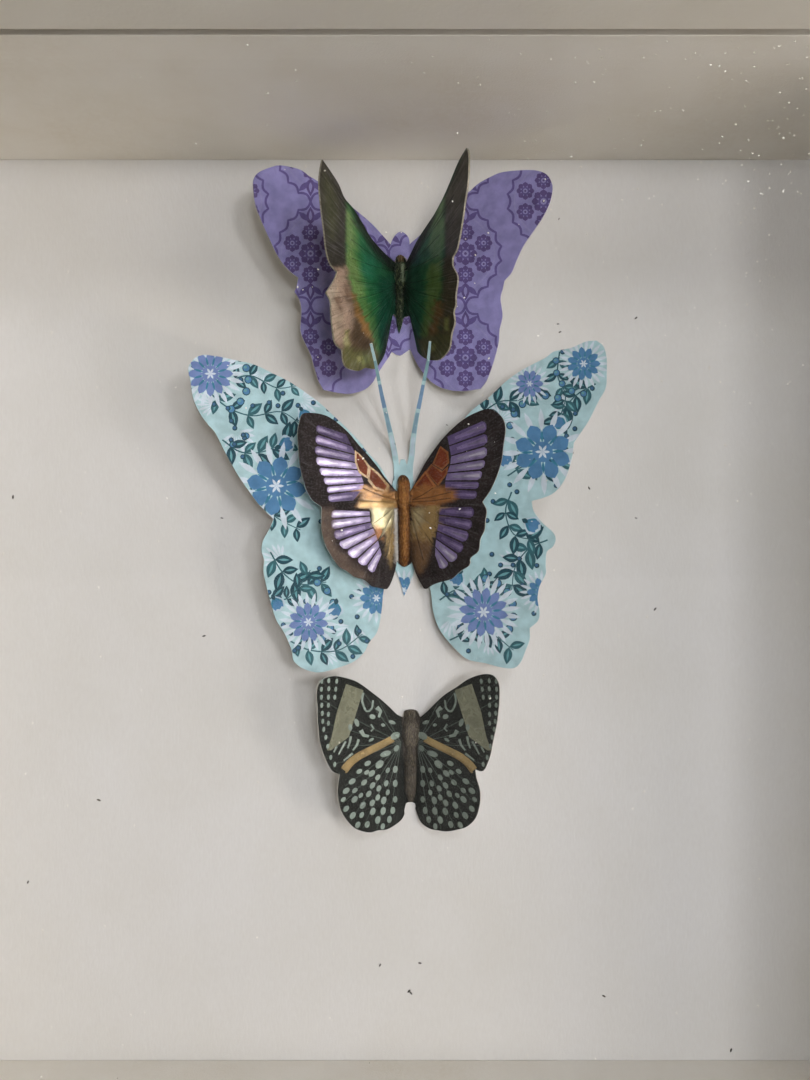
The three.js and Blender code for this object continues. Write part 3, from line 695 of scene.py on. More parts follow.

# Green butterfly: semi-gloss printed card, glued on the purple one, its wings folded up steeply from
# a raised body. The print has dark tips, a green fan from teal to yellow, and coppery hindwings; the
# paler copper on the left hindwing is partly a painted sheen.
GREEN_DARK = "3c3831"
GREEN_DEEP = "10402c"
GREEN_BODY = "24301f"
green = {
    "body_x": -1.25 * MM, "glued_half": 1.2 * MM, "base": SHEET_THICKNESS, "reach": 16.5 * MM,
    "left_rise": 29 * MM, "right_rise": 34 * MM, "curl": 1.0, "spring": 0.6 * MM,
    "lobes": [(400, 255, 266, 1.1, 0.9, 0), (400.5, 261, 291, 1.9, 1.5, 0), (400, 284, 331, 1.2, 1.2, 7)],
    "root": (399, 288), "ground": GREEN_DEEP, "edge": "a39c8a",
    "runs": [
        [(394, 263), (396, 258), (401, 256), (406, 258), (408, 262)],
        [(408, 262), (412, 254), (419, 240), (428, 226), (436, 214), (445, 197), (452, 181), (460, 162),
         (468, 148)],
        [(468, 148), (470, 154), (470, 168), (469, 185), (466, 204), (464, 219), (461, 237), (458, 250),
         (454, 257)],
        [(454, 257), (454, 266), (458, 274), (459, 281), (457, 295), (457, 305), (455, 312), (456, 323),
         (453, 333), (451, 347), (447, 354), (440, 360), (431, 360), (424, 357), (419, 352)],
        [(419, 352), (416, 338), (411, 316)],
        [(411, 316), (404, 318), (402, 326), (399, 334)],
        [(399, 334), (397, 326), (396, 318), (392, 314)],
        [(392, 314), (390, 321), (386, 343), (383, 355), (378, 364), (373, 369), (364, 368), (357, 371),
         (346, 368), (342, 361), (341, 350)],
        [(341, 350), (334, 343), (331, 326), (330, 312), (329, 300), (325, 293)],
        [(325, 293), (328, 288), (333, 280), (336, 272)],
        [(336, 272), (329, 264), (325, 250), (323, 233), (320, 209), (318, 185), (319, 171), (321, 160)],
        [(321, 160), (328, 170), (337, 184), (343, 198), (352, 209), (361, 223), (369, 237), (380, 250),
         (394, 263)],
    ],
}
green_washes = [
    # Left wings: the green fan, from its teal heart to the yellow-green border
    ("2f7a45", [(346, 205), (356, 212), (372, 240), (388, 262), (388, 330), (382, 356), (368, 352),
                (355, 320), (346, 290), (344, 262)], 5, 2),
    ("5f8f4c", [(344, 200), (351, 208), (355, 225), (357, 250), (362, 275), (366, 300), (374, 325),
                (378, 352), (369, 352), (360, 325), (350, 300), (344, 275)], 4, 3),
    ("82a35e", [(345, 212), (349, 214), (352, 240), (354, 262), (358, 280), (361, 298), (355, 298),
                (347, 280), (344, 262)], 3, 2.5),
    ("216b42", [(360, 240), (372, 246), (384, 258), (386, 285), (378, 300), (366, 285), (360, 262)], 6, 3),
    ("2a7c56", [(361, 256), (371, 258), (376, 268), (370, 280), (361, 272)], 5, 3),
    ("0f5238", [(377, 275), (390, 275), (392, 300), (387, 340), (380, 352), (376, 322)], 4, 2),
    ("1b2a1c", [(350, 203), (364, 222), (382, 246), (398, 262), (396, 276), (384, 268), (366, 244),
                (352, 222)], 4, 1),
    ("1d2a18", [(390, 318), (388, 345), (382, 364), (374, 366), (380, 346), (385, 326)], 3, 1),
    # Dark forewing with an olive streak up the tip
    (GREEN_DARK, [(314, 150), (330, 168), (345, 196), (344.5, 240), (345, 272), (330, 274), (316, 230)],
     1.6, 0.4),
    ("4b4c34", [(322, 172), (332, 188), (336, 210), (334, 240), (328, 240), (324, 210)], 6, 1),
    # Coppery hindwing border: print, with its pale pinkish copper partly a painted sheen
    ("5a4835", [(345, 268), (352, 296), (366, 326), (374, 350), (372, 376), (338, 376), (326, 300),
                (330, 268)], 3, 2.5),
    ("c6a892", [(325, 272), (344, 268), (347, 286), (350, 304), (353, 322), (346, 344), (338, 352),
                (322, 320)], 4, 2.5),
    ("dcc2aa", [(322, 288), (334, 282), (338, 300), (340, 330), (338, 346), (324, 330)], 5, 2),
    ("9c7340", [(350, 292), (354, 296), (360, 312), (369, 330), (371, 340), (364, 335), (354, 315)],
     2.5, 1.5),
    ("6d6a40", [(343, 342), (352, 350), (366, 350), (378, 352), (376, 374), (338, 374)], 4, 2.5),
    ("d8c4ae", [(326, 290), (331, 287), (333, 297), (329, 303)], 2.5, 2),
    ("8a6f5c", [(334, 296), (341, 300), (340, 312), (333, 308)], 3, 3),
    ("d2b9a0", [(333, 312), (340, 316), (340, 330), (334, 328)], 3, 3),
    ("7d6350", [(343, 284), (348, 292), (350, 306), (344, 300)], 2.5, 2),
    ("a9a06a", [(343, 330), (347, 330), (348, 345), (344, 346)], 2, 1),
    ("c9c08e", [(341, 338), (346, 336), (347, 344), (342, 346)], 1.2, 0.5),
    ("b5b374", [(356, 357), (361, 356), (361, 361), (356, 362)], 1.2, 0.5),
    ("8f9659", [(360, 355), (368, 355), (368, 364), (361, 364)], 2.5, 1),
    # Right wings, turned from the window, are painted darker overall as shade
    ("2c6641", [(419, 246), (432, 224), (446, 200), (446, 262), (440, 330), (424, 344), (414, 300)], 5, 2),
    ("5f8650", [(432, 222), (446, 198), (447, 236), (444, 262), (434, 262), (430, 240)], 4, 2.5),
    ("698243", [(430, 262), (442, 262), (443, 285), (438, 315), (428, 340), (423, 334), (428, 300)],
     3.5, 2.5),
    ("15523a", [(411, 262), (421, 256), (424, 290), (420, 330), (417, 348), (411, 310)], 4, 1.5),
    ("1d2519", [(404, 262), (420, 238), (434, 216), (440, 212), (430, 232), (414, 262), (410, 272)], 3, 1),
    ("4f4a42", [(446.5, 198), (470, 140), (478, 150), (470, 240), (456, 262), (446.5, 266)], 1.8, 0.5),
    ("453a2c", [(445, 258), (464, 256), (466, 330), (452, 366), (438, 366), (440, 330), (444, 290)], 3, 2),
    ("7a5730", [(436, 300), (444, 300), (443, 322), (437, 338), (430, 338), (433, 320)], 3.5, 2.5),
    ("55532f", [(420, 340), (430, 336), (450, 332), (458, 340), (448, 364), (424, 364)], 3.5, 2),
    ("8c8a50", [(431, 345), (436, 344), (437, 350), (432, 352)], 2, 0.5),
    ("8c8a50", [(446, 318), (450, 318), (450, 330), (446, 331)], 2, 0.5),
    # Body, with a pale painted highlight on the thorax
    (GREEN_BODY, [(394, 262), (398, 255), (403, 255), (407, 262), (406, 290), (403, 318), (400, 334),
                  (397, 318), (394, 290)], 1.2, 0.3),
    ("5b3f24", [(397, 257), (401, 255), (405, 257), (404, 263), (398, 263)], 1.5, 0.3),
    ("9bab8c", [(401, 266), (405, 266), (406, 282), (402, 284)], 1.5, 0.8),
]
green_prints = []
for end_x, end_y in [(326, 176), (334, 192), (345, 214), (345, 236), (344, 256), (348, 280), (352, 300),
                     (358, 322), (366, 342), (376, 354), (459, 190), (450, 208), (446, 230), (445, 252),
                     (445, 274), (443, 298), (438, 320), (430, 340), (421, 346)]:
    side = -1 if end_x < 400 else 1
    root = np.array((400 + side * 5, 272.0 if end_y < 262 else 284.0))
    tip = np.array((end_x, end_y), float)
    bend = root + (tip - root) * 0.5 + (side * -1.5, 2.0)
    green_prints.append((VEIN, stroke(catmull([root, bend, tip], 6), 0.5, 0.9)))
green_outline = closed_outline(green["runs"], 2.5)
printed_sheet("butterfly_green", green, green_outline, green_prints, [
    printed_paper("semi_gloss_green_card", 0.45, 0.28, 0.4, 0.6, 0.3, 0.2, ("141a10", "8a9468")), bare_paper],
    "green_card", 0.5, green_washes)

# Blue butterfly: matt pale blue paper with a floral print of blooms, bells, beads and leafy stems,
# glued onto the card. Two thin antennae, cut with the sheet, curl forwards over its head.
BLUE_GROUND = "b0cfd3"
BLUE_PALE = "bccfda"
BLUE_WHITE = "cfdbe4"
BLUE_BLOOM = "5583ab"
BLUE_VIOLET = "7488b8"
BLUE_TEAL = "3f7f98"
BLUE_LEAF = "3a656d"
BLUE_LEAF_DARK = "2b4d58"
BLUE_LEAF_LIGHT = "6a9fa4"
BLUE_BEAD = "44688a"
blue = {
    "body_x": -0.25 * MM, "glued_half": 2.5 * MM, "base": 0.0, "reach": 49 * MM,
    "left_rise": 17.5 * MM, "right_rise": 17.5 * MM, "curl": 1.2, "spring": 0.5 * MM,
    "lobes": [], "root": (404, 500), "ground": BLUE_GROUND, "edge": "cfd6d4",
    "antenna_root": 164.5 * MM, "antenna_length": 27 * MM, "antenna_rise": 20.5 * MM,
    "antenna_spread": 10 * MM,
    "runs": [
        [(391, 487), (393, 478), (393, 466)],
        [(415, 487), (430, 465), (450, 438), (463, 421), (474, 409), (490, 397), (506, 382), (523, 370),
         (546, 358), (554, 352), (572, 348), (586, 342), (597, 341)],
        [(597, 341), (604, 347), (607, 359), (607, 374), (606, 388), (599, 401), (590, 419), (583, 430),
         (574, 443)],
        [(574, 443), (573, 454), (569, 470), (563, 483), (554, 493), (543, 498), (532, 501)],
        [(532, 501), (534, 511), (543, 523), (553, 532), (556, 539), (553, 547), (547, 552), (546, 566),
         (546, 574), (540, 586), (538, 599), (540, 612), (538, 621), (530, 628)],
        [(530, 628), (530, 639), (526, 650), (521, 662), (514, 668), (501, 667), (486, 663), (468, 659),
         (454, 647), (443, 634), (437, 623), (433, 608), (431, 590), (425, 572), (417, 556)],
        [(417, 556), (416, 566), (411, 581), (404, 596)],
        [(404, 596), (400, 581), (394, 566), (391, 556)],
        [(391, 556), (387, 572), (383, 592), (381, 612), (377, 631), (369, 642), (363, 653), (352, 662),
         (336, 668), (321, 672), (310, 671), (300, 667)],
        [(300, 667), (293, 660), (291, 649), (284, 633), (276, 620), (271, 605), (266, 586), (263, 570),
         (264, 560), (261, 551), (263, 540), (269, 529), (273, 519)],
        [(273, 519), (267, 513), (258, 504), (250, 493), (240, 479), (231, 464), (223, 449), (215, 433),
         (208, 425), (200, 414), (193, 399), (190, 381), (188, 368), (195, 358), (204, 355)],
        [(204, 355), (219, 357), (237, 361), (254, 365), (271, 373), (289, 382), (304, 392), (319, 403),
         (330, 413), (350, 432), (367, 451), (380, 467), (391, 487)],
    ],
}
ANTENNA_LEFT = [(396, 466), (395, 455), (391, 435), (383, 400), (379, 380), (375, 360), (371, 343)]
ANTENNA_RIGHT = [(410, 466), (412, 452), (413, 440), (416, 420), (420, 400), (424, 380), (428, 360),
                 (430, 341)]
ANTENNA_WIDTHS = (6.0, 2.4)


def daisy(x, y, size, petals, colour, turn=0):
    """A round flower: a pale halo, two rings of petals and a starred eye."""
    prints = []
    for i in range(petals * 2):
        ray = turn + i * 180 / petals
        prints.append((BLUE_WHITE, petal(x, y, ray, size * 0.7, size * 1.5, size * 0.2, 0.5, 5)))
    for i in range(petals):
        spoke = turn + i * 360 / petals
        prints.append((colour, petal(x, y, spoke, size * 0.15, size, size * 4.2 / petals, 0.68, 7)))
    for i in range(petals):
        spoke = turn + (i + 0.5) * 360 / petals
        prints.append((BLUE_TEAL, petal(x, y, spoke, size * 0.3, size * 0.75, size * 0.1, 0.5, 4)))
    prints.append((colour, ellipse(x, y, size * 0.36, size * 0.36)))
    for i in range(6):
        prints.append((BLUE_WHITE, petal(x, y, i * 60, 0, size * 0.26, size * 0.1, 0.5, 4)))
    return prints


def bell(x, y, size, turn):
    """A bell-shaped bud with a scalloped mouth and a pale lining."""
    prints = [(BLUE_PALE, petal(x, y, turn, -size * 0.15, size * 1.15, size * 1.15, 0.62, 9))]
    prints.append((BLUE_TEAL, petal(x, y, turn, 0, size, size * 0.85, 0.6, 9)))
    for lean in (-17, 0, 17):
        prints.append((BLUE_BLOOM, petal(x, y, turn + lean, size * 0.2, size * 1.02, size * 0.3, 0.7, 6)))
    prints.append((BLUE_LEAF_DARK, petal(x, y, turn, -size * 0.12, size * 0.3, size * 0.3, 0.5, 6)))
    return prints


def leafy_stem(path, leaves, size, seed):
    """A curved stem with leaves to both sides, each with a light vein."""
    rng = np.random.default_rng(seed)
    curve = np.array(catmull(path, 4) + [path[-1]])
    prints = [(BLUE_LEAF, stroke(curve, 1.6, 0.9))]
    for i in range(leaves):
        at = (i + 0.6) / leaves * (len(curve) - 1)
        k = min(len(curve) - 2, int(at))
        x, y = curve[k] + (curve[k + 1] - curve[k]) * (at - k)
        run = curve[k + 1] - curve[k]
        heading = math.degrees(math.atan2(run[1], run[0]))
        for side in (-1, 1):
            lean = heading + side * (46 + 16 * rng.random())
            long = size * (1.2 + 0.5 * rng.random())
            ink = BLUE_LEAF if rng.random() < 0.45 else BLUE_LEAF_DARK
            prints.append((ink, petal(x, y, lean, 0.5, long, long * 0.5, 0.45)))
            prints.append((BLUE_LEAF_LIGHT, petal(x, y, lean, long * 0.2, long * 0.8, long * 0.13, 0.5, 5)))
    return prints


def frond(x, y, turn, size):
    """A pale feathery spray of fine leaves."""
    prints = []
    for i in range(9):
        lean = (i - 4) * 19
        reach = size * (1 - abs(i - 4) * 0.08)
        prints.append((BLUE_WHITE, petal(x, y, turn + lean, size * 0.12, reach, size * 0.13, 0.62, 5)))
    return prints


def bead(x, y, size):
    """A round berry with a light side."""
    return [(BLUE_LEAF_DARK, ellipse(x, y, size, size, points=12)),
            (BLUE_BLOOM, ellipse(x, y, size * 0.78, size * 0.78, points=10)),
            (BLUE_LEAF_LIGHT, ellipse(x - size * 0.2, y - size * 0.2, size * 0.42, size * 0.36, points=8))]


def bead_arc(x, y, radius, start, end, count, size):
    """Berries along an arc."""
    prints = []
    for bx, by in arc_path(x, y, radius, start, end, count):
        prints += bead(bx, by, size)
    return prints


blue_prints = []
for x, y, turn, size in [(236, 432, 70, 26), (300, 400, 20, 22), (281, 560, 200, 22), (352, 626, 110, 24),
                         (500, 420, -60, 26), (571, 402, 150, 20), (452, 618, 60, 24), (520, 566, 210, 24),
                         (214, 405, 200, 20), (325, 652, 20, 18), (488, 640, 30, 20), (262, 372, 100, 18)]:
    blue_prints += frond(x, y, turn, size)
for path, leaves, size, seed in [
        ([(208, 392), (228, 408), (252, 416), (280, 412), (300, 424)], 6, 12, 1),
        ([(222, 440), (240, 452), (262, 452), (290, 440)], 5, 13, 2),
        ([(250, 488), (262, 506), (280, 520), (300, 530)], 5, 12, 3),
        ([(270, 552), (282, 572), (300, 584), (326, 582)], 5, 13, 4),
        ([(288, 640), (310, 650), (338, 650), (362, 634)], 6, 11, 5),
        ([(596, 384), (576, 396), (560, 416), (550, 440)], 5, 13, 6),
        ([(478, 416), (500, 402), (520, 400), (540, 386)], 5, 12, 7),
        ([(508, 476), (526, 466), (548, 470), (566, 460)], 4, 12, 8),
        ([(548, 540), (530, 548), (516, 566), (512, 590)], 5, 13, 9),
        ([(440, 600), (456, 590), (474, 592), (490, 580)], 5, 12, 10),
        ([(450, 640), (470, 632), (492, 634), (514, 650)], 5, 11, 11),
        ([(512, 492), (506, 512), (514, 534), (534, 540)], 5, 12, 12),
        ([(262, 596), (282, 600), (296, 590), (310, 570)], 4, 11, 13),
        ([(226, 382), (250, 376), (276, 388), (296, 386)], 5, 10, 14),
        ([(560, 352), (558, 376), (566, 396), (560, 418)], 5, 10, 15)]:
    blue_prints += leafy_stem(path, leaves, size, seed)
for x, y, radius, start, end, count, size in [
        (214, 380, 34, -40, 60, 6, 4.2), (300, 612, 34, -60, 50, 6, 4), (258, 470, 36, 150, 250, 5, 3.6),
        (546, 432, 36, 190, 290, 6, 4), (480, 612, 34, -80, 30, 6, 4.4), (584, 366, 28, 90, 190, 5, 3.6)]:
    blue_prints += bead_arc(x, y, radius, start, end, count, size)
rng = np.random.default_rng(12)
for x, y in rng.uniform((190, 345), (606, 668), (190, 2)):
    blue_prints.append((BLUE_LEAF_DARK, ellipse(x, y, 2.7, 2.7, points=8)))
    blue_prints.append((BLUE_BEAD, ellipse(x - 0.3, y - 0.3, 1.7, 1.7, points=6)))
for x, y, size, turn in [(276, 448, 17, -20), (336, 600, 16, 100), (272, 596, 15, 60), (500, 450, 17, 60),
                         (568, 428, 15, 210), (524, 520, 17, 30), (462, 570, 16, 120), (300, 408, 14, 60)]:
    blue_prints += bell(x, y, size, turn)
for x, y, size, petals, colour, turn in [
        (210, 374, 23, 12, BLUE_VIOLET, 0), (276, 486, 30, 8, BLUE_BLOOM, 10),
        (308, 622, 20, 11, BLUE_VIOLET, 5), (376, 598, 17, 10, BLUE_BLOOM, 0),
        (584, 364, 17, 11, BLUE_BLOOM, 0), (543, 452, 29, 8, BLUE_BLOOM, 20),
        (530, 384, 14, 10, BLUE_VIOLET, 0), (484, 612, 25, 12, BLUE_VIOLET, 8),
        (542, 592, 15, 10, BLUE_BLOOM, 0), (404, 590, 14, 10, BLUE_BLOOM, 0)]:
    blue_prints += daisy(x, y, size, petals, colour, turn)
for centre_line in (ANTENNA_LEFT, ANTENNA_RIGHT):
    tinted = np.array(catmull(centre_line, 4))
    for ink, start, end in [(BLUE_PALE, 3, 9), ("86a6b6", 9, 15), ("7796b6", 15, 22), ("7fa3ab", 22, 28)]:
        blue_prints.append((ink, stroke(tinted[start:end], 4.2, 3.2)))

antenna_left, antenna_right = (
    stroke(catmull(line, 4) + [line[-1]], *ANTENNA_WIDTHS)[::-1] for line in (ANTENNA_LEFT, ANTENNA_RIGHT))
blue_outline = np.vstack([
    closed_outline(blue["runs"][:1]), antenna_left, [(401, 459), (405, 459)], antenna_right,
    closed_outline([[(413, 466), (413, 478), (415, 487)]] + blue["runs"][1:])])
printed_sheet("butterfly_blue", blue, blue_outline, blue_prints,
              [printed_paper("matt_floral_blue_paper", 0.65, 0.6, 0.3), bare_paper], "blue_paper", 1.3)

# Lilac butterfly: glossy printed card with a raised furry body, glued on the blue one. The print has
# brown margins, a fan of lilac cells between dark veins, and orange and cream at the root.
LILAC_MARGIN = "2b2423"
# Cell inks run from border to middle; the last and palest of each is a painted highlight down the cell,
# brightest in LILAC_CELL.
LILAC_CELL = ("8878a3", "b0a4c6", "d2c9de")
LILAC_DEEP = ("65557f", "84739d", "9c8db0")
LILAC_PURPLE = ("4f4163", "69597f", "85759a")
LILAC_WINDOW = "74371f"
LILAC_CREAM = "a58660"
LILAC_ORANGE = "b5834c"
LILAC_BODY = "774a22"
lilac = {
    "body_x": -0.25 * MM, "glued_half": 1.6 * MM, "base": SHEET_THICKNESS, "reach": 24.6 * MM,
    "left_rise": 13 * MM, "right_rise": 13 * MM, "curl": 1.05, "spring": 1.2 * MM,
    "lobes": [(403, 475, 488, 1.6, 1.1, 0), (403.8, 483, 509, 2.4, 1.8, 0), (404.6, 500, 567, 1.6, 1.5, 9)],
    "root": (392, 500), "ground": LILAC_MARGIN, "edge": "cfc8ba",
    "runs": [
        [(396, 492), (397, 482), (400, 476), (404, 475), (408, 478), (410, 484), (411, 492)],
        [(411, 492), (415, 485), (419, 476), (426, 463), (434, 451), (444, 438), (455, 427), (465, 419),
         (476, 413), (489, 409), (498, 413), (504, 420), (506, 430), (504, 445), (502, 461), (497, 477),
         (491, 490), (483, 502)],
        [(483, 502), (487, 510), (486, 520), (485, 530), (481, 539), (479, 551), (471, 558), (470, 565),
         (460, 572), (452, 579), (441, 582), (433, 585), (426, 589), (422, 584), (417, 574), (413, 562)],
        [(413, 562), (409, 565), (404, 567), (399, 564), (396, 560)],
        [(396, 560), (394, 571), (390, 583), (386, 589), (380, 588), (371, 586), (364, 580), (354, 577),
         (346, 571), (339, 567), (331, 556), (325, 545), (321, 530), (321, 516), (321, 507)],
        [(321, 507), (312, 500), (306, 490), (302, 477), (299, 462), (298, 448), (297, 433), (299, 422),
         (302, 414), (310, 413), (319, 414), (328, 417), (338, 424), (348, 433), (358, 445), (368, 456),
         (377, 467), (384, 477), (396, 492)],
    ],
}


def wing_cells(outer, inner, inks, vein=2.0):
    """Cells of a wing between veins that run from inner to outer points, with rounded outer ends.
    Each has three inks, from its border to its middle; the third, a thin stroke down the middle, is a
    painted highlight."""
    outer, inner = np.array(outer, float), np.array(inner, float)
    prints = []
    for i, ink in enumerate(inks):
        a, b, c, d = inner[i], outer[i], outer[i + 1], inner[i + 1]
        outer_gap = (c - b) / max(1e-6, np.linalg.norm(c - b)) * vein / 2
        inner_gap = (d - a) / max(1e-6, np.linalg.norm(d - a)) * vein / 2
        a, b, c, d = a + inner_gap * 0.6, b + outer_gap, c - outer_gap, d - inner_gap * 0.6
        out = ((b + c) - (a + d)) / 2
        out /= np.linalg.norm(out)
        wide = np.linalg.norm(c - b)
        end = [b + (c - b) * t + out * wide * 0.22 * math.sin(math.pi * t) for t in (0.15, 0.35, 0.65, 0.85)]
        sides = [a, a + (b - a) * 0.5, b - out * wide * 0.12] + end
        cell = np.array(sides + [c - out * wide * 0.12, d + (c - d) * 0.5, d])
        prints.append((ink[0], cell))
        start, tip = (a + d) / 2, (b + c) / 2 + out * wide * 0.16
        middle = [start + (tip - start) * t for t in (0.18, 0.45, 0.75, 0.98)]
        prints.append((ink[1], stroke(middle, wide * 0.25, wide * 0.62)))
        # Painted highlight: a thin pale stroke down the middle of each cell.
        painted_glint = [start + (tip - start) * t for t in (0.5, 0.75, 0.95)]
        prints.append((ink[2], stroke(painted_glint, wide * 0.1, wide * 0.3)))
    return prints


lilac_prints = wing_cells(
    [(317, 424), (317, 434), (316, 445), (316, 456), (319, 467), (323, 477), (327, 486), (328, 494),
     (330, 503)],
    [(345, 434), (351, 446), (355, 455), (357, 463), (359, 470), (361, 477), (363, 483), (362, 490),
     (352, 501)],
    [LILAC_PURPLE, LILAC_DEEP, LILAC_DEEP, LILAC_CELL, LILAC_CELL, LILAC_CELL, LILAC_CELL, LILAC_DEEP])
lilac_prints += wing_cells(
    [(333, 509), (331, 519), (333, 530), (338, 541), (346, 550), (356, 559), (366, 566), (374, 573)],
    [(369, 511), (369, 516), (370, 522), (372, 528), (375, 534), (377, 540), (379, 547), (381, 555)],
    [LILAC_CELL, LILAC_CELL, LILAC_DEEP, LILAC_CELL, LILAC_CELL, LILAC_CELL, LILAC_CELL])
lilac_prints += wing_cells(
    [(484, 420), (486, 433), (486, 446), (485, 459), (482, 470), (479, 481), (477, 490), (475, 500)],
    [(448, 436), (450, 446), (452, 456), (451, 465), (448, 473), (446, 481), (446, 489), (450, 499)],
    [LILAC_DEEP, LILAC_DEEP, LILAC_CELL, LILAC_CELL, LILAC_CELL, LILAC_DEEP, LILAC_PURPLE])
lilac_prints += wing_cells(
    [(473, 506), (472, 519), (469, 531), (464, 543), (459, 554), (450, 563), (440, 569)],
    [(440, 507), (440, 515), (439, 523), (438, 531), (437, 539), (436, 547), (436, 556)],
    [LILAC_PURPLE, LILAC_PURPLE, LILAC_DEEP, LILAC_PURPLE, LILAC_CELL, LILAC_CELL])
for edge_ink, ring, inner in [
        (LILAC_CREAM, [(354, 450), (361, 456), (369, 466), (367, 479), (358, 473), (354, 462)],
         [(356, 453), (361, 458), (367, 467), (366, 476), (359, 471), (356, 462)]),
        (LILAC_CREAM, [(369, 466), (378, 473), (389, 486), (386, 493), (374, 489), (367, 481)],
         [(370, 469), (377, 475), (386, 486), (384, 490), (375, 487), (369, 479)]),
        ("8d5732", [(441, 446), (449, 452), (450, 463), (443, 470), (433, 464)],
         [(441, 448), (447, 453), (448.5, 462), (443, 468), (435, 464)]),
        ("8d5732", [(432, 464), (443, 471), (449, 466), (448, 474), (439, 486), (426, 472)],
         [(433, 466), (442.5, 473), (447, 469), (446, 474), (438, 484), (428, 472)]),
        ("a8693c", [(414, 487), (426, 471), (437, 486), (426, 494)],
         [(417, 486), (426, 474), (434, 486), (426, 491)])]:
    lilac_prints.append((edge_ink, np.array(ring)))
    lilac_prints.append((LILAC_WINDOW, np.array(inner)))
for start, end in [((394, 500), (362, 488)), ((394, 502), (358, 500)), ((394, 500), (372, 492)),
                   ((392, 508), (372, 524)), ((392, 512), (378, 540)), ((393, 516), (386, 556)),
                   ((413, 500), (452, 492)), ((413, 502), (452, 498)), ((413, 500), (434, 488)),
                   ((414, 510), (437, 528)), ((414, 514), (434, 545)), ((414, 520), (424, 560))]:
    middle = ((start[0] + end[0]) / 2, (start[1] + end[1]) / 2 + 1)
    lilac_prints.append((VEIN, stroke([start, middle, end], 1.1)))
lilac_washes = [
    # Orange and cream at the root of the left wings
    (LILAC_ORANGE, [(362, 485), (376, 488), (397, 494), (397, 507), (372, 508), (357, 506), (360, 496)],
     2.2, 1.5),
    ("cda76a", [(360, 500), (394, 501), (394, 508), (358, 508)], 2, 1.2),
    ("d8cc9f", [(371, 508), (392, 508), (393, 528), (384, 531), (372, 526)], 2, 1.2),
    ("b5743c", [(374, 527), (382, 528), (382, 541), (376, 538)], 2, 1),
    ("a58a5c", [(384, 528), (394, 524), (396, 545), (391, 568), (385, 552)], 3, 2),
    # Orange and tan at the root of the right wings, painted darker than on the left as shade
    ("a06a3a", [(412, 489), (424, 485), (440, 487), (455, 489), (456, 499), (438, 506), (412, 508)], 2.5, 2),
    ("b3935f", [(413, 507), (439, 507), (438, 526), (431, 545), (420, 549), (413, 540)], 2.5, 2),
    ("cbb98c", [(413, 508), (424, 508), (424, 522), (415, 532)], 3, 2),
    ("6d5238", [(413, 538), (431, 541), (429, 562), (420, 574), (413, 560)], 4, 2),
    # Lighter grey-brown along the left hindwing margin: print, and partly a painted sheen where that wing
    # faces the window
    ("5e4d42", [(318, 508), (332, 508), (334, 545), (350, 560), (372, 580), (340, 576), (316, 540)], 4, 1),
    # Painted highlight: a white strip where the steep crease beside the body catches the light
    ("fffdf6", [(393.2, 509), (397, 509), (398, 540), (398, 563), (394.5, 563)], 0.8, 0.3),
    (LILAC_BODY, [(396, 490), (399, 475), (408, 475), (412, 490), (411, 510), (410, 540), (409, 560),
                  (404, 569), (399, 560), (397, 520)], 1.2, 0.3),
    ("8f5a2c", [(399, 484), (409, 484), (410, 500), (403, 506), (397, 500)], 3, 0.3),
    ("3f2818", [(400, 474), (408, 474), (409, 481), (399, 481)], 1.5, 0.3),
    # Painted shade and highlight across the rounded body: dark strips down both sides, a light one down the
    # middle
    ("452912", [(396, 486), (398.5, 486), (400.5, 560), (398, 562)], 0.9, 0.3),
    ("452912", [(409, 486), (412, 486), (411, 562), (408.3, 560)], 0.9, 0.3),
    ("b07a40", [(402.5, 486), (405.5, 486), (406, 556), (403.5, 556)], 1.0, 0.3),
]
lilac_outline = closed_outline(lilac["runs"], 2.5)
printed_sheet("butterfly_lilac", lilac, lilac_outline, lilac_prints, [
    printed_paper("glossy_lilac_card", 0.5, 0.2, 0.5, 0.22, 0.45, 0.6, ("4a2c14", "b98a4c")), bare_paper],
    "lilac_card", 0.8, lilac_washes)

# Spotted butterfly: glossy black printed card with a raised dark body, glued onto the card at the
# foot of the column. The print has a pale green band, a gold bar and rows of pale spots on each side.
SPOT_GROUND = "1c1f1c"
SPOT_BAND = "858670"
SPOT_PALE = "a5b5ab"
# The pale spot ink painted darker, as shade on the right wings turned from the window
SPOT_PALE_SHADED = "8f9c91"
SPOT_VEIN = "4d554f"
SPOT_GOLD = "b39a68"
SPOT_GOLD_SHADE = "8a7348"
SPOT_BODY = "4b443c"
spotted = {
    "body_x": 1.25 * MM, "glued_half": 1.6 * MM, "base": 0.0, "reach": 22 * MM,
    "left_rise": 12 * MM, "right_rise": 12 * MM, "curl": 1.1, "spring": 0.9 * MM,
    "lobes": [(410.5, 709, 722, 1.6, 1, 0), (411, 717, 749, 2.3, 1.6, 0), (410.5, 741, 803, 1.6, 1.4, 9)],
    "root": (410, 735), "ground": SPOT_GROUND, "edge": "dad6cc",
    "runs": [
        [(402, 717), (404, 711), (411, 709), (418, 711), (421, 717)],
        [(421, 717), (428, 711), (437, 702), (446, 694), (457, 687), (467, 680), (476, 676), (485, 674),
         (493, 675), (498, 680), (500, 687), (500, 699), (499, 712), (497, 726), (494, 740), (491, 755),
         (486, 768), (482, 771), (476, 769)],
        [(476, 769), (477, 777), (480, 787), (481, 796), (480, 806), (476, 818), (468, 826), (459, 829),
         (448, 831), (439, 830), (430, 828), (422, 822), (418, 813), (415, 803)],
        [(415, 803), (410, 801), (406, 803)],
        [(406, 803), (402, 817), (395, 824), (386, 829), (377, 830), (370, 832), (362, 831), (353, 827),
         (345, 818), (340, 809), (338, 800), (337, 791), (338, 781), (339, 774)],
        [(339, 774), (332, 771), (327, 763), (322, 751), (319, 740), (318, 730), (317, 719), (317, 707),
         (316, 697), (317, 687), (321, 680), (328, 677), (336, 676), (346, 678), (355, 681), (363, 686),
         (371, 692), (380, 699), (389, 707), (396, 714), (402, 717)],
    ],
}
spotted_prints = []
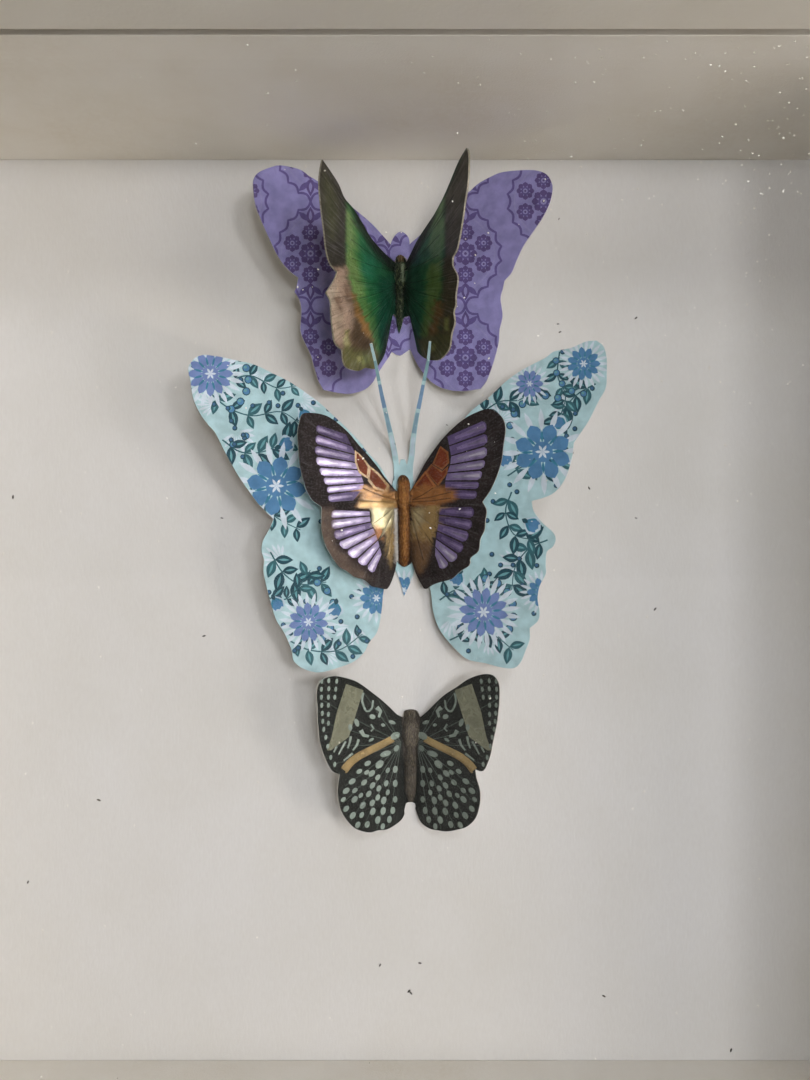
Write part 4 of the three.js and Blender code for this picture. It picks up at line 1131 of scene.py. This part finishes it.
for side in (-1, 1):
    root = np.array((400.0, 742.0))
    lines = [stroke([root, root + ((x, y) - root) * 0.5 + (0, 1.5), (x, y)], 0.9, 0.5) for x, y in [
        (322, 700), (321, 722), (326, 745), (360, 688), (344, 786), (342, 803), (350, 820), (362, 828),
        (376, 829), (388, 825), (333, 764), (378, 700)]]
    bands = [(SPOT_BAND, np.array([(345.4, 683.6), (362.6, 690), (357, 708), (348, 736.7), (330, 750),
                                   (326, 750), (331, 736), (336, 712)]))]
    bar = np.array(catmull([(392, 738), (381, 744), (369, 750), (356, 757), (347, 765), (340, 775)], 5))
    bands += [(SPOT_GOLD, stroke(bar, 6, 8)), (SPOT_GOLD_SHADE, stroke(bar + (1.5, 2.6), 1.6, 1.6))]
    loop = catmull([(362.6, 692.5), (361.4, 701), (365.7, 711), (371, 708), (372.6, 697)], 3)
    marks = [stroke(loop, 2.2, 1.8)]
    marks += [stroke(line, wide, thin) for line, wide, thin in [
        ([(376, 707), (380, 711), (378, 717)], 4.4, 2.2), ([(360, 730), (363, 735), (368, 736)], 4.4, 2.6),
        ([(350, 736), (349, 742), (347, 748)], 2.6, 1.6), ([(345, 741), (341, 748), (338, 754)], 2.2, 1.4),
        ([(358, 739), (356, 745), (352, 750)], 2.6, 1.6), ([(352, 753), (347, 757), (343, 760)], 2.4, 1.4),
        ([(336, 746), (333, 752)], 2.2, 1.4), ([(370, 724), (373, 728), (370, 731)], 2.0, 1.4)]]
    marks += [ellipse(x, y, rx, ry, turn) for x, y, rx, ry, turn in [
        (371.7, 716.4, 3, 2.4, 20), (356, 722.3, 4.2, 2.2, 70), (382.4, 724.7, 2.2, 1.6, 20),
        (391.3, 722, 3.6, 1.8, 20), (394.4, 735.5, 5, 3.4, -30), (384.8, 753.4, 5.6, 2.8, -20),
        (395.6, 748, 3.4, 2.4, -60), (370.5, 739.5, 3, 1.4, -35), (349.5, 727, 2, 3.4, 0)]]
    marks += [ellipse(x, y, 1.5, 2.7, 6, 8) for x, y in [
        (321, 681), (320.6, 689), (320.6, 697), (321, 705), (321.5, 713), (322, 721), (323, 729), (325, 737),
        (328, 680.5), (328, 688.5), (327.6, 697), (327.6, 705), (327.6, 714), (327.6, 723), (336, 681),
        (335, 689), (334, 697), (330, 757), (334, 764), (327, 746)]]
    for x, y, size in [
            (378.8, 764, 1.5), (366.9, 763, 1.1), (394.4, 769, 1.1), (371, 773, 1.2), (377, 777, 1),
            (358.5, 771, 1), (363.3, 782, 1.1), (351.4, 781, 1.2), (371.7, 785, 1.1), (378, 788, 1),
            (385.5, 783, 1), (394.4, 783, 1.1), (345.4, 790.4, 1.2), (354, 790, 1), (368, 793.5, 1.1),
            (377, 797, 1), (383, 800, 1.2), (394.4, 799, 1), (353.8, 799, 1.2), (362, 804.8, 1.2),
            (371.5, 802.5, 1.1), (372, 811, 1.2), (382.4, 810.5, 1.2), (392, 810, 1.1),
            (345.4, 808.3, 1.1), (352, 815, 1.2), (361, 814.5, 1), (366.5, 824, 1.1), (377, 819.5, 1.2),
            (382, 826, 1), (388.6, 819, 1.1), (357, 824.5, 1.1), (387, 792, 0.9), (360, 795, 0.9),
            (366, 772, 0.9), (387, 770, 0.9), (342.5, 799, 0.9)]:
        ray = math.degrees(math.atan2(y - 745, x - 398))
        marks.append(ellipse(x, y, 3.3 * size, 2.2 * size, ray, 10))
    # Spots on the right wings take the dimmer copy of the pale ink: painted shade, as those wings turn from
    # the window.
    spot_ink = SPOT_PALE if side < 0 else SPOT_PALE_SHADED
    layers = [(SPOT_VEIN, line) for line in lines] + bands + [(spot_ink, mark) for mark in marks]
    spotted_prints += [(ink, shape if side < 0 else mirrored(shape, 409)) for ink, shape in layers]
spotted_washes = [
    (SPOT_BODY, [(401, 717), (404, 708), (418, 708), (421, 717), (419, 748), (416, 790), (411, 806),
                 (405, 790), (402, 748)], 1.2, 0.3),
    ("6b6257", [(405, 722), (415, 722), (415, 744), (406, 744)], 3, 0.3),
]
spotted_outline = closed_outline(spotted["runs"], 2.5)
printed_sheet("butterfly_spotted", spotted, spotted_outline, spotted_prints, [
    printed_paper("glossy_spotted_card", 0.45, 0.22, 0.4, 0.15, 0.4, 0.5, ("1f1b16", "8b8263")), bare_paper],
    "spotted_card", 1.0, spotted_washes)

# Lint and dust: dark fibres and crumbs that have fallen onto the card, and pale specks on the pane,
# thicker towards its upper right corner. Each lies free where it fell.
LINT = ("2c2622", "4d443a")
DUST = ("f4f1ea", "cfc8ba")
LINT_PLACES = [
    (13, 497), (28, 882), (411, 993), (409, 991), (655, 609), (774, 1077), (777, 1063), (731, 1050),
    (604, 996), (380, 965), (384, 1078), (559, 219), (558, 324), (636, 318), (636, 518), (589, 488),
    (447, 425), (573, 453), (461, 322), (204, 636), (420, 963), (222, 518), (560, 332), (99, 800)]
PANE_SPECKS = 900
DUSTY_HALF = 111 * MM
FULL_TURN = 6.28


def speck_nodes():
    """A node tree that sets a small irregular crumb on every point, turned and sized at random."""
    tree = bpy.data.node_groups.new("scattered_specks", "GeometryNodeTree")
    for way, name, kind in [
            ("INPUT", "Geometry", "Geometry"), ("INPUT", "Smallest", "Float"), ("INPUT", "Largest", "Float"),
            ("INPUT", "Slimness", "Float"), ("INPUT", "Seed", "Int"), ("INPUT", "Material", "Material"),
            ("OUTPUT", "Geometry", "Geometry")]:
        tree.interface.new_socket(name, in_out=way, socket_type="NodeSocket" + kind)
    given = tree.nodes.new("NodeGroupInput").outputs
    crumb = add_node(tree, "GeometryNodeMeshIcoSphere", {"Radius": 1.0, "Subdivisions": 2})
    ripple = add_node(tree, "ShaderNodeTexNoise", {"Scale": 1.1, "Detail": 1.0}, "Color")
    push = add_node(tree, "ShaderNodeVectorMath", [ripple, (0.5, 0.5, 0.5)], operation="SUBTRACT")
    crumpled = add_node(tree, "GeometryNodeSetPosition", {"Geometry": crumb, "Offset": push})
    slim = add_node(tree, "ShaderNodeCombineXYZ", [1.0, 0.35, given["Slimness"]])
    flat = add_node(tree, "GeometryNodeTransform", {"Geometry": crumpled, "Scale": slim})
    size = add_node(tree, "FunctionNodeRandomValue", {
        2: given["Smallest"], 3: given["Largest"], "Seed": given["Seed"]}, 1, data_type="FLOAT")
    turn = add_node(tree, "FunctionNodeRandomValue", {
        0: (0, 0, 0), 1: (0, FULL_TURN, 0), "Seed": given["Seed"]}, data_type="FLOAT_VECTOR")
    placed = add_node(tree, "GeometryNodeInstanceOnPoints", {
        "Points": given["Geometry"], "Instance": flat, "Rotation": turn, "Scale": size})
    real = add_node(tree, "GeometryNodeRealizeInstances", [placed])
    coloured = add_node(tree, "GeometryNodeSetMaterial", {"Geometry": real, "Material": given["Material"]})
    add_node(tree, "NodeGroupOutput", [coloured])
    return tree


def scattered(name, places, tree, values):
    """A plain mesh of specks at those places, made by the node tree with the given inputs."""
    mesh = bpy.data.meshes.new(name)
    mesh.from_pydata([tuple(p) for p in places], [], [])
    carrier = bpy.data.objects.new(name, mesh)
    bpy.context.scene.collection.objects.link(carrier)
    modifier = carrier.modifiers.new("specks", "NODES")
    modifier.node_group = tree
    for item in tree.interface.items_tree:
        if item.in_out == "INPUT" and item.name in values:
            modifier[item.identifier] = values[item.name]
    graph = bpy.context.evaluated_depsgraph_get()
    specks = bpy.data.meshes.new_from_object(carrier.evaluated_get(graph))
    bpy.data.objects.remove(carrier)
    return specks


def speck_material(name, tones):
    """Lint or dust: dull fluff, each speck a little lighter or darker than the next."""
    material, tree, place = new_material(name)
    tone = add_node(tree, "ShaderNodeTexNoise", {"Vector": place, "Scale": 1 / (3 * MM), "Detail": 2.0})
    colour = laid_over(tree, tones[0], tones[1], tone, 0.35, 0.65)
    fluff = add_node(tree, "ShaderNodeTexNoise", {"Vector": place, "Scale": 1 / (0.1 * MM), "Detail": 2.0})
    relief = add_node(tree, "ShaderNodeBump", {"Height": fluff, "Distance": 0.02 * MM})
    return surfaced(material, tree, {"Base Color": colour, "Roughness": 0.95, "Normal": relief})


speck_tree = speck_nodes()
lint_fluff = speck_material("dark_lint", LINT)
pane_fluff = speck_material("pale_dust", DUST)
lint_flat = (np.array(LINT_PLACES, float) - EYE_PIXEL) * (PIXEL, -PIXEL)
lint_places = [(x, CARD_FRONT - 0.06 * MM, EYE_HEIGHT + z) for x, z in lint_flat]
lint = scattered("lint", lint_places, speck_tree, {
    "Smallest": 0.25 * MM, "Largest": 0.55 * MM, "Slimness": 0.4, "Seed": 3, "Material": lint_fluff})
add_piece("card_lint", lint, [lint_fluff], "dust")
pane_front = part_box("glass_pane")[0].y
rng = np.random.default_rng(21)
spots = rng.random((PANE_SPECKS * 20, 2))
towards_corner = np.clip(spots * (1.2, 1.6) - (0.3, 0.6), 0, 1) ** 2
thick = 0.02 + 0.98 * towards_corner[:, 0] * towards_corner[:, 1]
spots = (spots[rng.random(len(spots)) < thick][:PANE_SPECKS] * 2 - 1) * DUSTY_HALF
middle_z = (cad_low.z + cad_high.z) / 2
pane_places = [(x, pane_front - 0.02 * MM, middle_z + z) for x, z in spots]
pane_dust = scattered("dust", pane_places, speck_tree, {
    "Smallest": 0.06 * MM, "Largest": 0.22 * MM, "Slimness": 0.7, "Seed": 5, "Material": pane_fluff})
add_piece("pane_dust", pane_dust, [pane_fluff], "dust")

# Backboard: brown hardboard that closes the box, bare on both sides, with the woven imprint of the
# press screen on its outer face. Steel points driven into the rails hold it.
HARDBOARD = "6e4e33"
HARDBOARD_DARK = "4f3622"
HARDBOARD_PALE = "86633f"
SCREEN_PITCH = 1.1 * MM


def hardboard():
    """Hardboard: pressed brown fibre, darker flecks, and a fine woven screen pattern in relief, which
    is drawn a little coarser than a real press screen so that it shows."""
    material, tree, place = new_material("bare_hardboard")
    fibres = add_node(tree, "ShaderNodeTexNoise", {
        "Vector": place, "Scale": 1 / (2.5 * MM), "Detail": 5.0, "Roughness": 0.7})
    flecked = laid_over(tree, HARDBOARD, HARDBOARD_DARK, fibres, 0.35, 0.7)
    clouds = add_node(tree, "ShaderNodeTexNoise", {"Vector": place, "Scale": 1 / (45 * MM), "Detail": 3.0})
    colour = laid_over(tree, flecked, HARDBOARD_PALE, clouds, 0.4, 0.7, 0.35)
    wires = [add_node(tree, "ShaderNodeTexWave", {
        "Vector": place, "Scale": 2 * math.pi / (20 * SCREEN_PITCH), "Distortion": 0.3},
        "Fac", bands_direction=direction) for direction in ("X", "Z")]
    crossing = add_node(tree, "ShaderNodeMath", wires, operation="MULTIPLY")
    rough = add_node(tree, "ShaderNodeMapRange", [fibres, 0.3, 0.7, 0.65, 0.85])
    relief = add_node(tree, "ShaderNodeBump", {"Height": crossing, "Distance": 0.25 * MM})
    return surfaced(material, tree, {"Base Color": colour, "Roughness": rough, "Normal": relief})


finished_copy("backboard", hardboard(), "hardboard", 0.3 * MM)

# Framer's points: eight flat tabs of bare rolled steel, two to a side, driven into the rails over the
# backboard to hold it.
STEEL = ("a09f9b", "85807a")


def metal(name, tones, roughness, grain):
    """Bare or plated sheet metal with fine rolling lines along the grain and dull tarnished patches."""
    material, tree, place = new_material(name)
    along = add_node(tree, "ShaderNodeMapping", {"Vector": place, "Scale": [g / (0.35 * MM) for g in grain]})
    lines = add_node(tree, "ShaderNodeTexNoise", {"Vector": along, "Scale": 1.0, "Detail": 3.0})
    patches = add_node(tree, "ShaderNodeTexNoise", {
        "Vector": place, "Scale": 1 / (4 * MM), "Detail": 4.0, "Roughness": 0.65})
    colour = laid_over(tree, tones[0], tones[1], patches, 0.5, 0.75)
    rough = add_node(tree, "ShaderNodeMapRange", [patches, 0.4, 0.75, roughness, roughness + 0.25])
    relief = add_node(tree, "ShaderNodeBump", {"Height": lines, "Distance": 0.01 * MM})
    return surfaced(material, tree, {
        "Base Color": colour, "Metallic": 1.0, "Roughness": rough, "Normal": relief})


rolled_steel = metal("rolled_steel", STEEL, 0.35, (1, 1, 0.1))
for number in range(1, 9):
    finished_copy(f"framer_point_{number}", rolled_steel, "steel_point", 0.12 * MM)

# Hanger: a toothed strip of brassed steel, riveted to the backboard near its two ends, to hang the
# box from a nail.
BRASS = ("b79a5c", "a08653")
brassed = metal("brassed_steel", BRASS, 0.32, (0.1, 1, 1))
finished_copy("sawtooth_hanger", brassed, "brassed_hanger", 0.15 * MM)
for side in ("left", "right"):
    finished_copy("hanger_rivet_" + side, brassed, "brassed_hanger", 0.2 * MM, 3)

# Floor and lights: a plain pale floor that the box stands on, soft lamps from the right and from the
# front, a low one that lights the top wall, a wide one above, and a surround that is dim in front.
FLOOR_PALE = "cfcdc8"
FLOOR_GREY = "c8c6c1"
SURROUND = "e8e1d6"
SURROUND_FRONT = 0.07
SURROUND_BACK = 0.6


def studio_floor():
    """A plain pale floor under the box."""
    material, tree, place = new_material("pale_floor")
    soft = add_node(tree, "ShaderNodeTexNoise", {"Vector": place, "Scale": 1 / (250 * MM), "Detail": 2.0})
    colour = laid_over(tree, FLOOR_PALE, FLOOR_GREY, soft, 0.3, 0.7)
    mesh = bpy.data.meshes.new("floor")
    mesh.from_pydata([(-3, -3, 0), (3, -3, 0), (3, 3, 0), (-3, 3, 0)], [], [(0, 1, 2, 3)])
    mesh.materials.append(surfaced(material, tree, {"Base Color": colour, "Roughness": 0.9}))
    floor = bpy.data.objects.new("floor", mesh)
    bpy.context.scene.collection.objects.link(floor)


def soft_light(name, turn, height, distance, wide, tall, power, colour, mirrored_in_pane, beam):
    """A soft light aimed at the box. How far it is turned to the right of straight in front, how far it
    is raised and how wide its beam opens are all in degrees."""
    aim = np.array((0, 0, EYE_HEIGHT))
    turn, height = math.radians(turn), math.radians(height)
    level = distance * math.cos(height)
    place = aim + (level * math.sin(turn), -level * math.cos(turn), distance * math.sin(height))
    light = bpy.data.lights.new(name, "AREA")
    light.shape = "RECTANGLE"
    light.size = wide
    light.size_y = tall
    light.spread = math.radians(beam)
    light.energy = power
    light.color = linear(colour)[:3]
    lamp = bpy.data.objects.new(name, light)
    bpy.context.scene.collection.objects.link(lamp)
    lamp.location = place
    lamp.visible_glossy = mirrored_in_pane
    direction = aim - place
    flat = math.hypot(direction[0], direction[1])
    lamp.rotation_euler = (math.pi / 2 + math.atan2(direction[2], flat), 0,
                           math.atan2(direction[1], direction[0]) - math.pi / 2)


studio_floor()
for lamp in [
        ("window_light", 55, 5, 1.3, 0.26, 0.42, 0.26, "fffaf4", True, 60),
        ("side_light", 28, 5, 1.3, 0.22, 0.22, 0.46, "fbfbff", False, 60),
        ("front_light", 11, 3, 1.0, 0.18, 0.18, 0.3, "f8faff", False, 60),
        ("upper_light", 16, 32, 1.2, 0.24, 0.24, 0.3, "f8faff", False, 60),
        ("low_light", 60, -20, 0.4, 0.16, 0.03, 0.62, "fff4e8", False, 180),
        ("top_light", 25, 60, 1.6, 1.2, 1.2, 2.5, "fbfbff", True, 180)]:
    soft_light(*lamp)

world = bpy.data.worlds.new("surround")
world.use_nodes = True
surround = world.node_tree
surround.nodes.clear()
heading = add_node(surround, "ShaderNodeTexCoord", out="Generated")
towards_back = add_node(surround, "ShaderNodeSeparateXYZ", [heading], 1)
brightness = add_node(surround, "ShaderNodeMapRange", [
    towards_back, -0.1, 0.3, SURROUND_FRONT, SURROUND_BACK])
background = add_node(surround, "ShaderNodeBackground", [SURROUND, brightness])
add_node(surround, "ShaderNodeOutputWorld", [background])
bpy.context.scene.world = world
bpy.context.scene.view_settings.view_transform = "Standard"

# Camera: straight in front of the box and level, a little above its middle, at the distance from
# the card that the perspective of the top wall and of the raised wings gives.
LENS_MM = 27.03
camera = bpy.data.objects.new("camera", bpy.data.cameras.new("camera"))
camera.data.lens = LENS_MM
camera.data.sensor_width = 36
camera.data.clip_start = 0.01
camera.location = (0, CARD_FRONT - EYE_DISTANCE, EYE_HEIGHT)
camera.rotation_euler = (math.pi / 2, 0, 0)
bpy.context.scene.collection.objects.link(camera)
bpy.context.scene.camera = camera
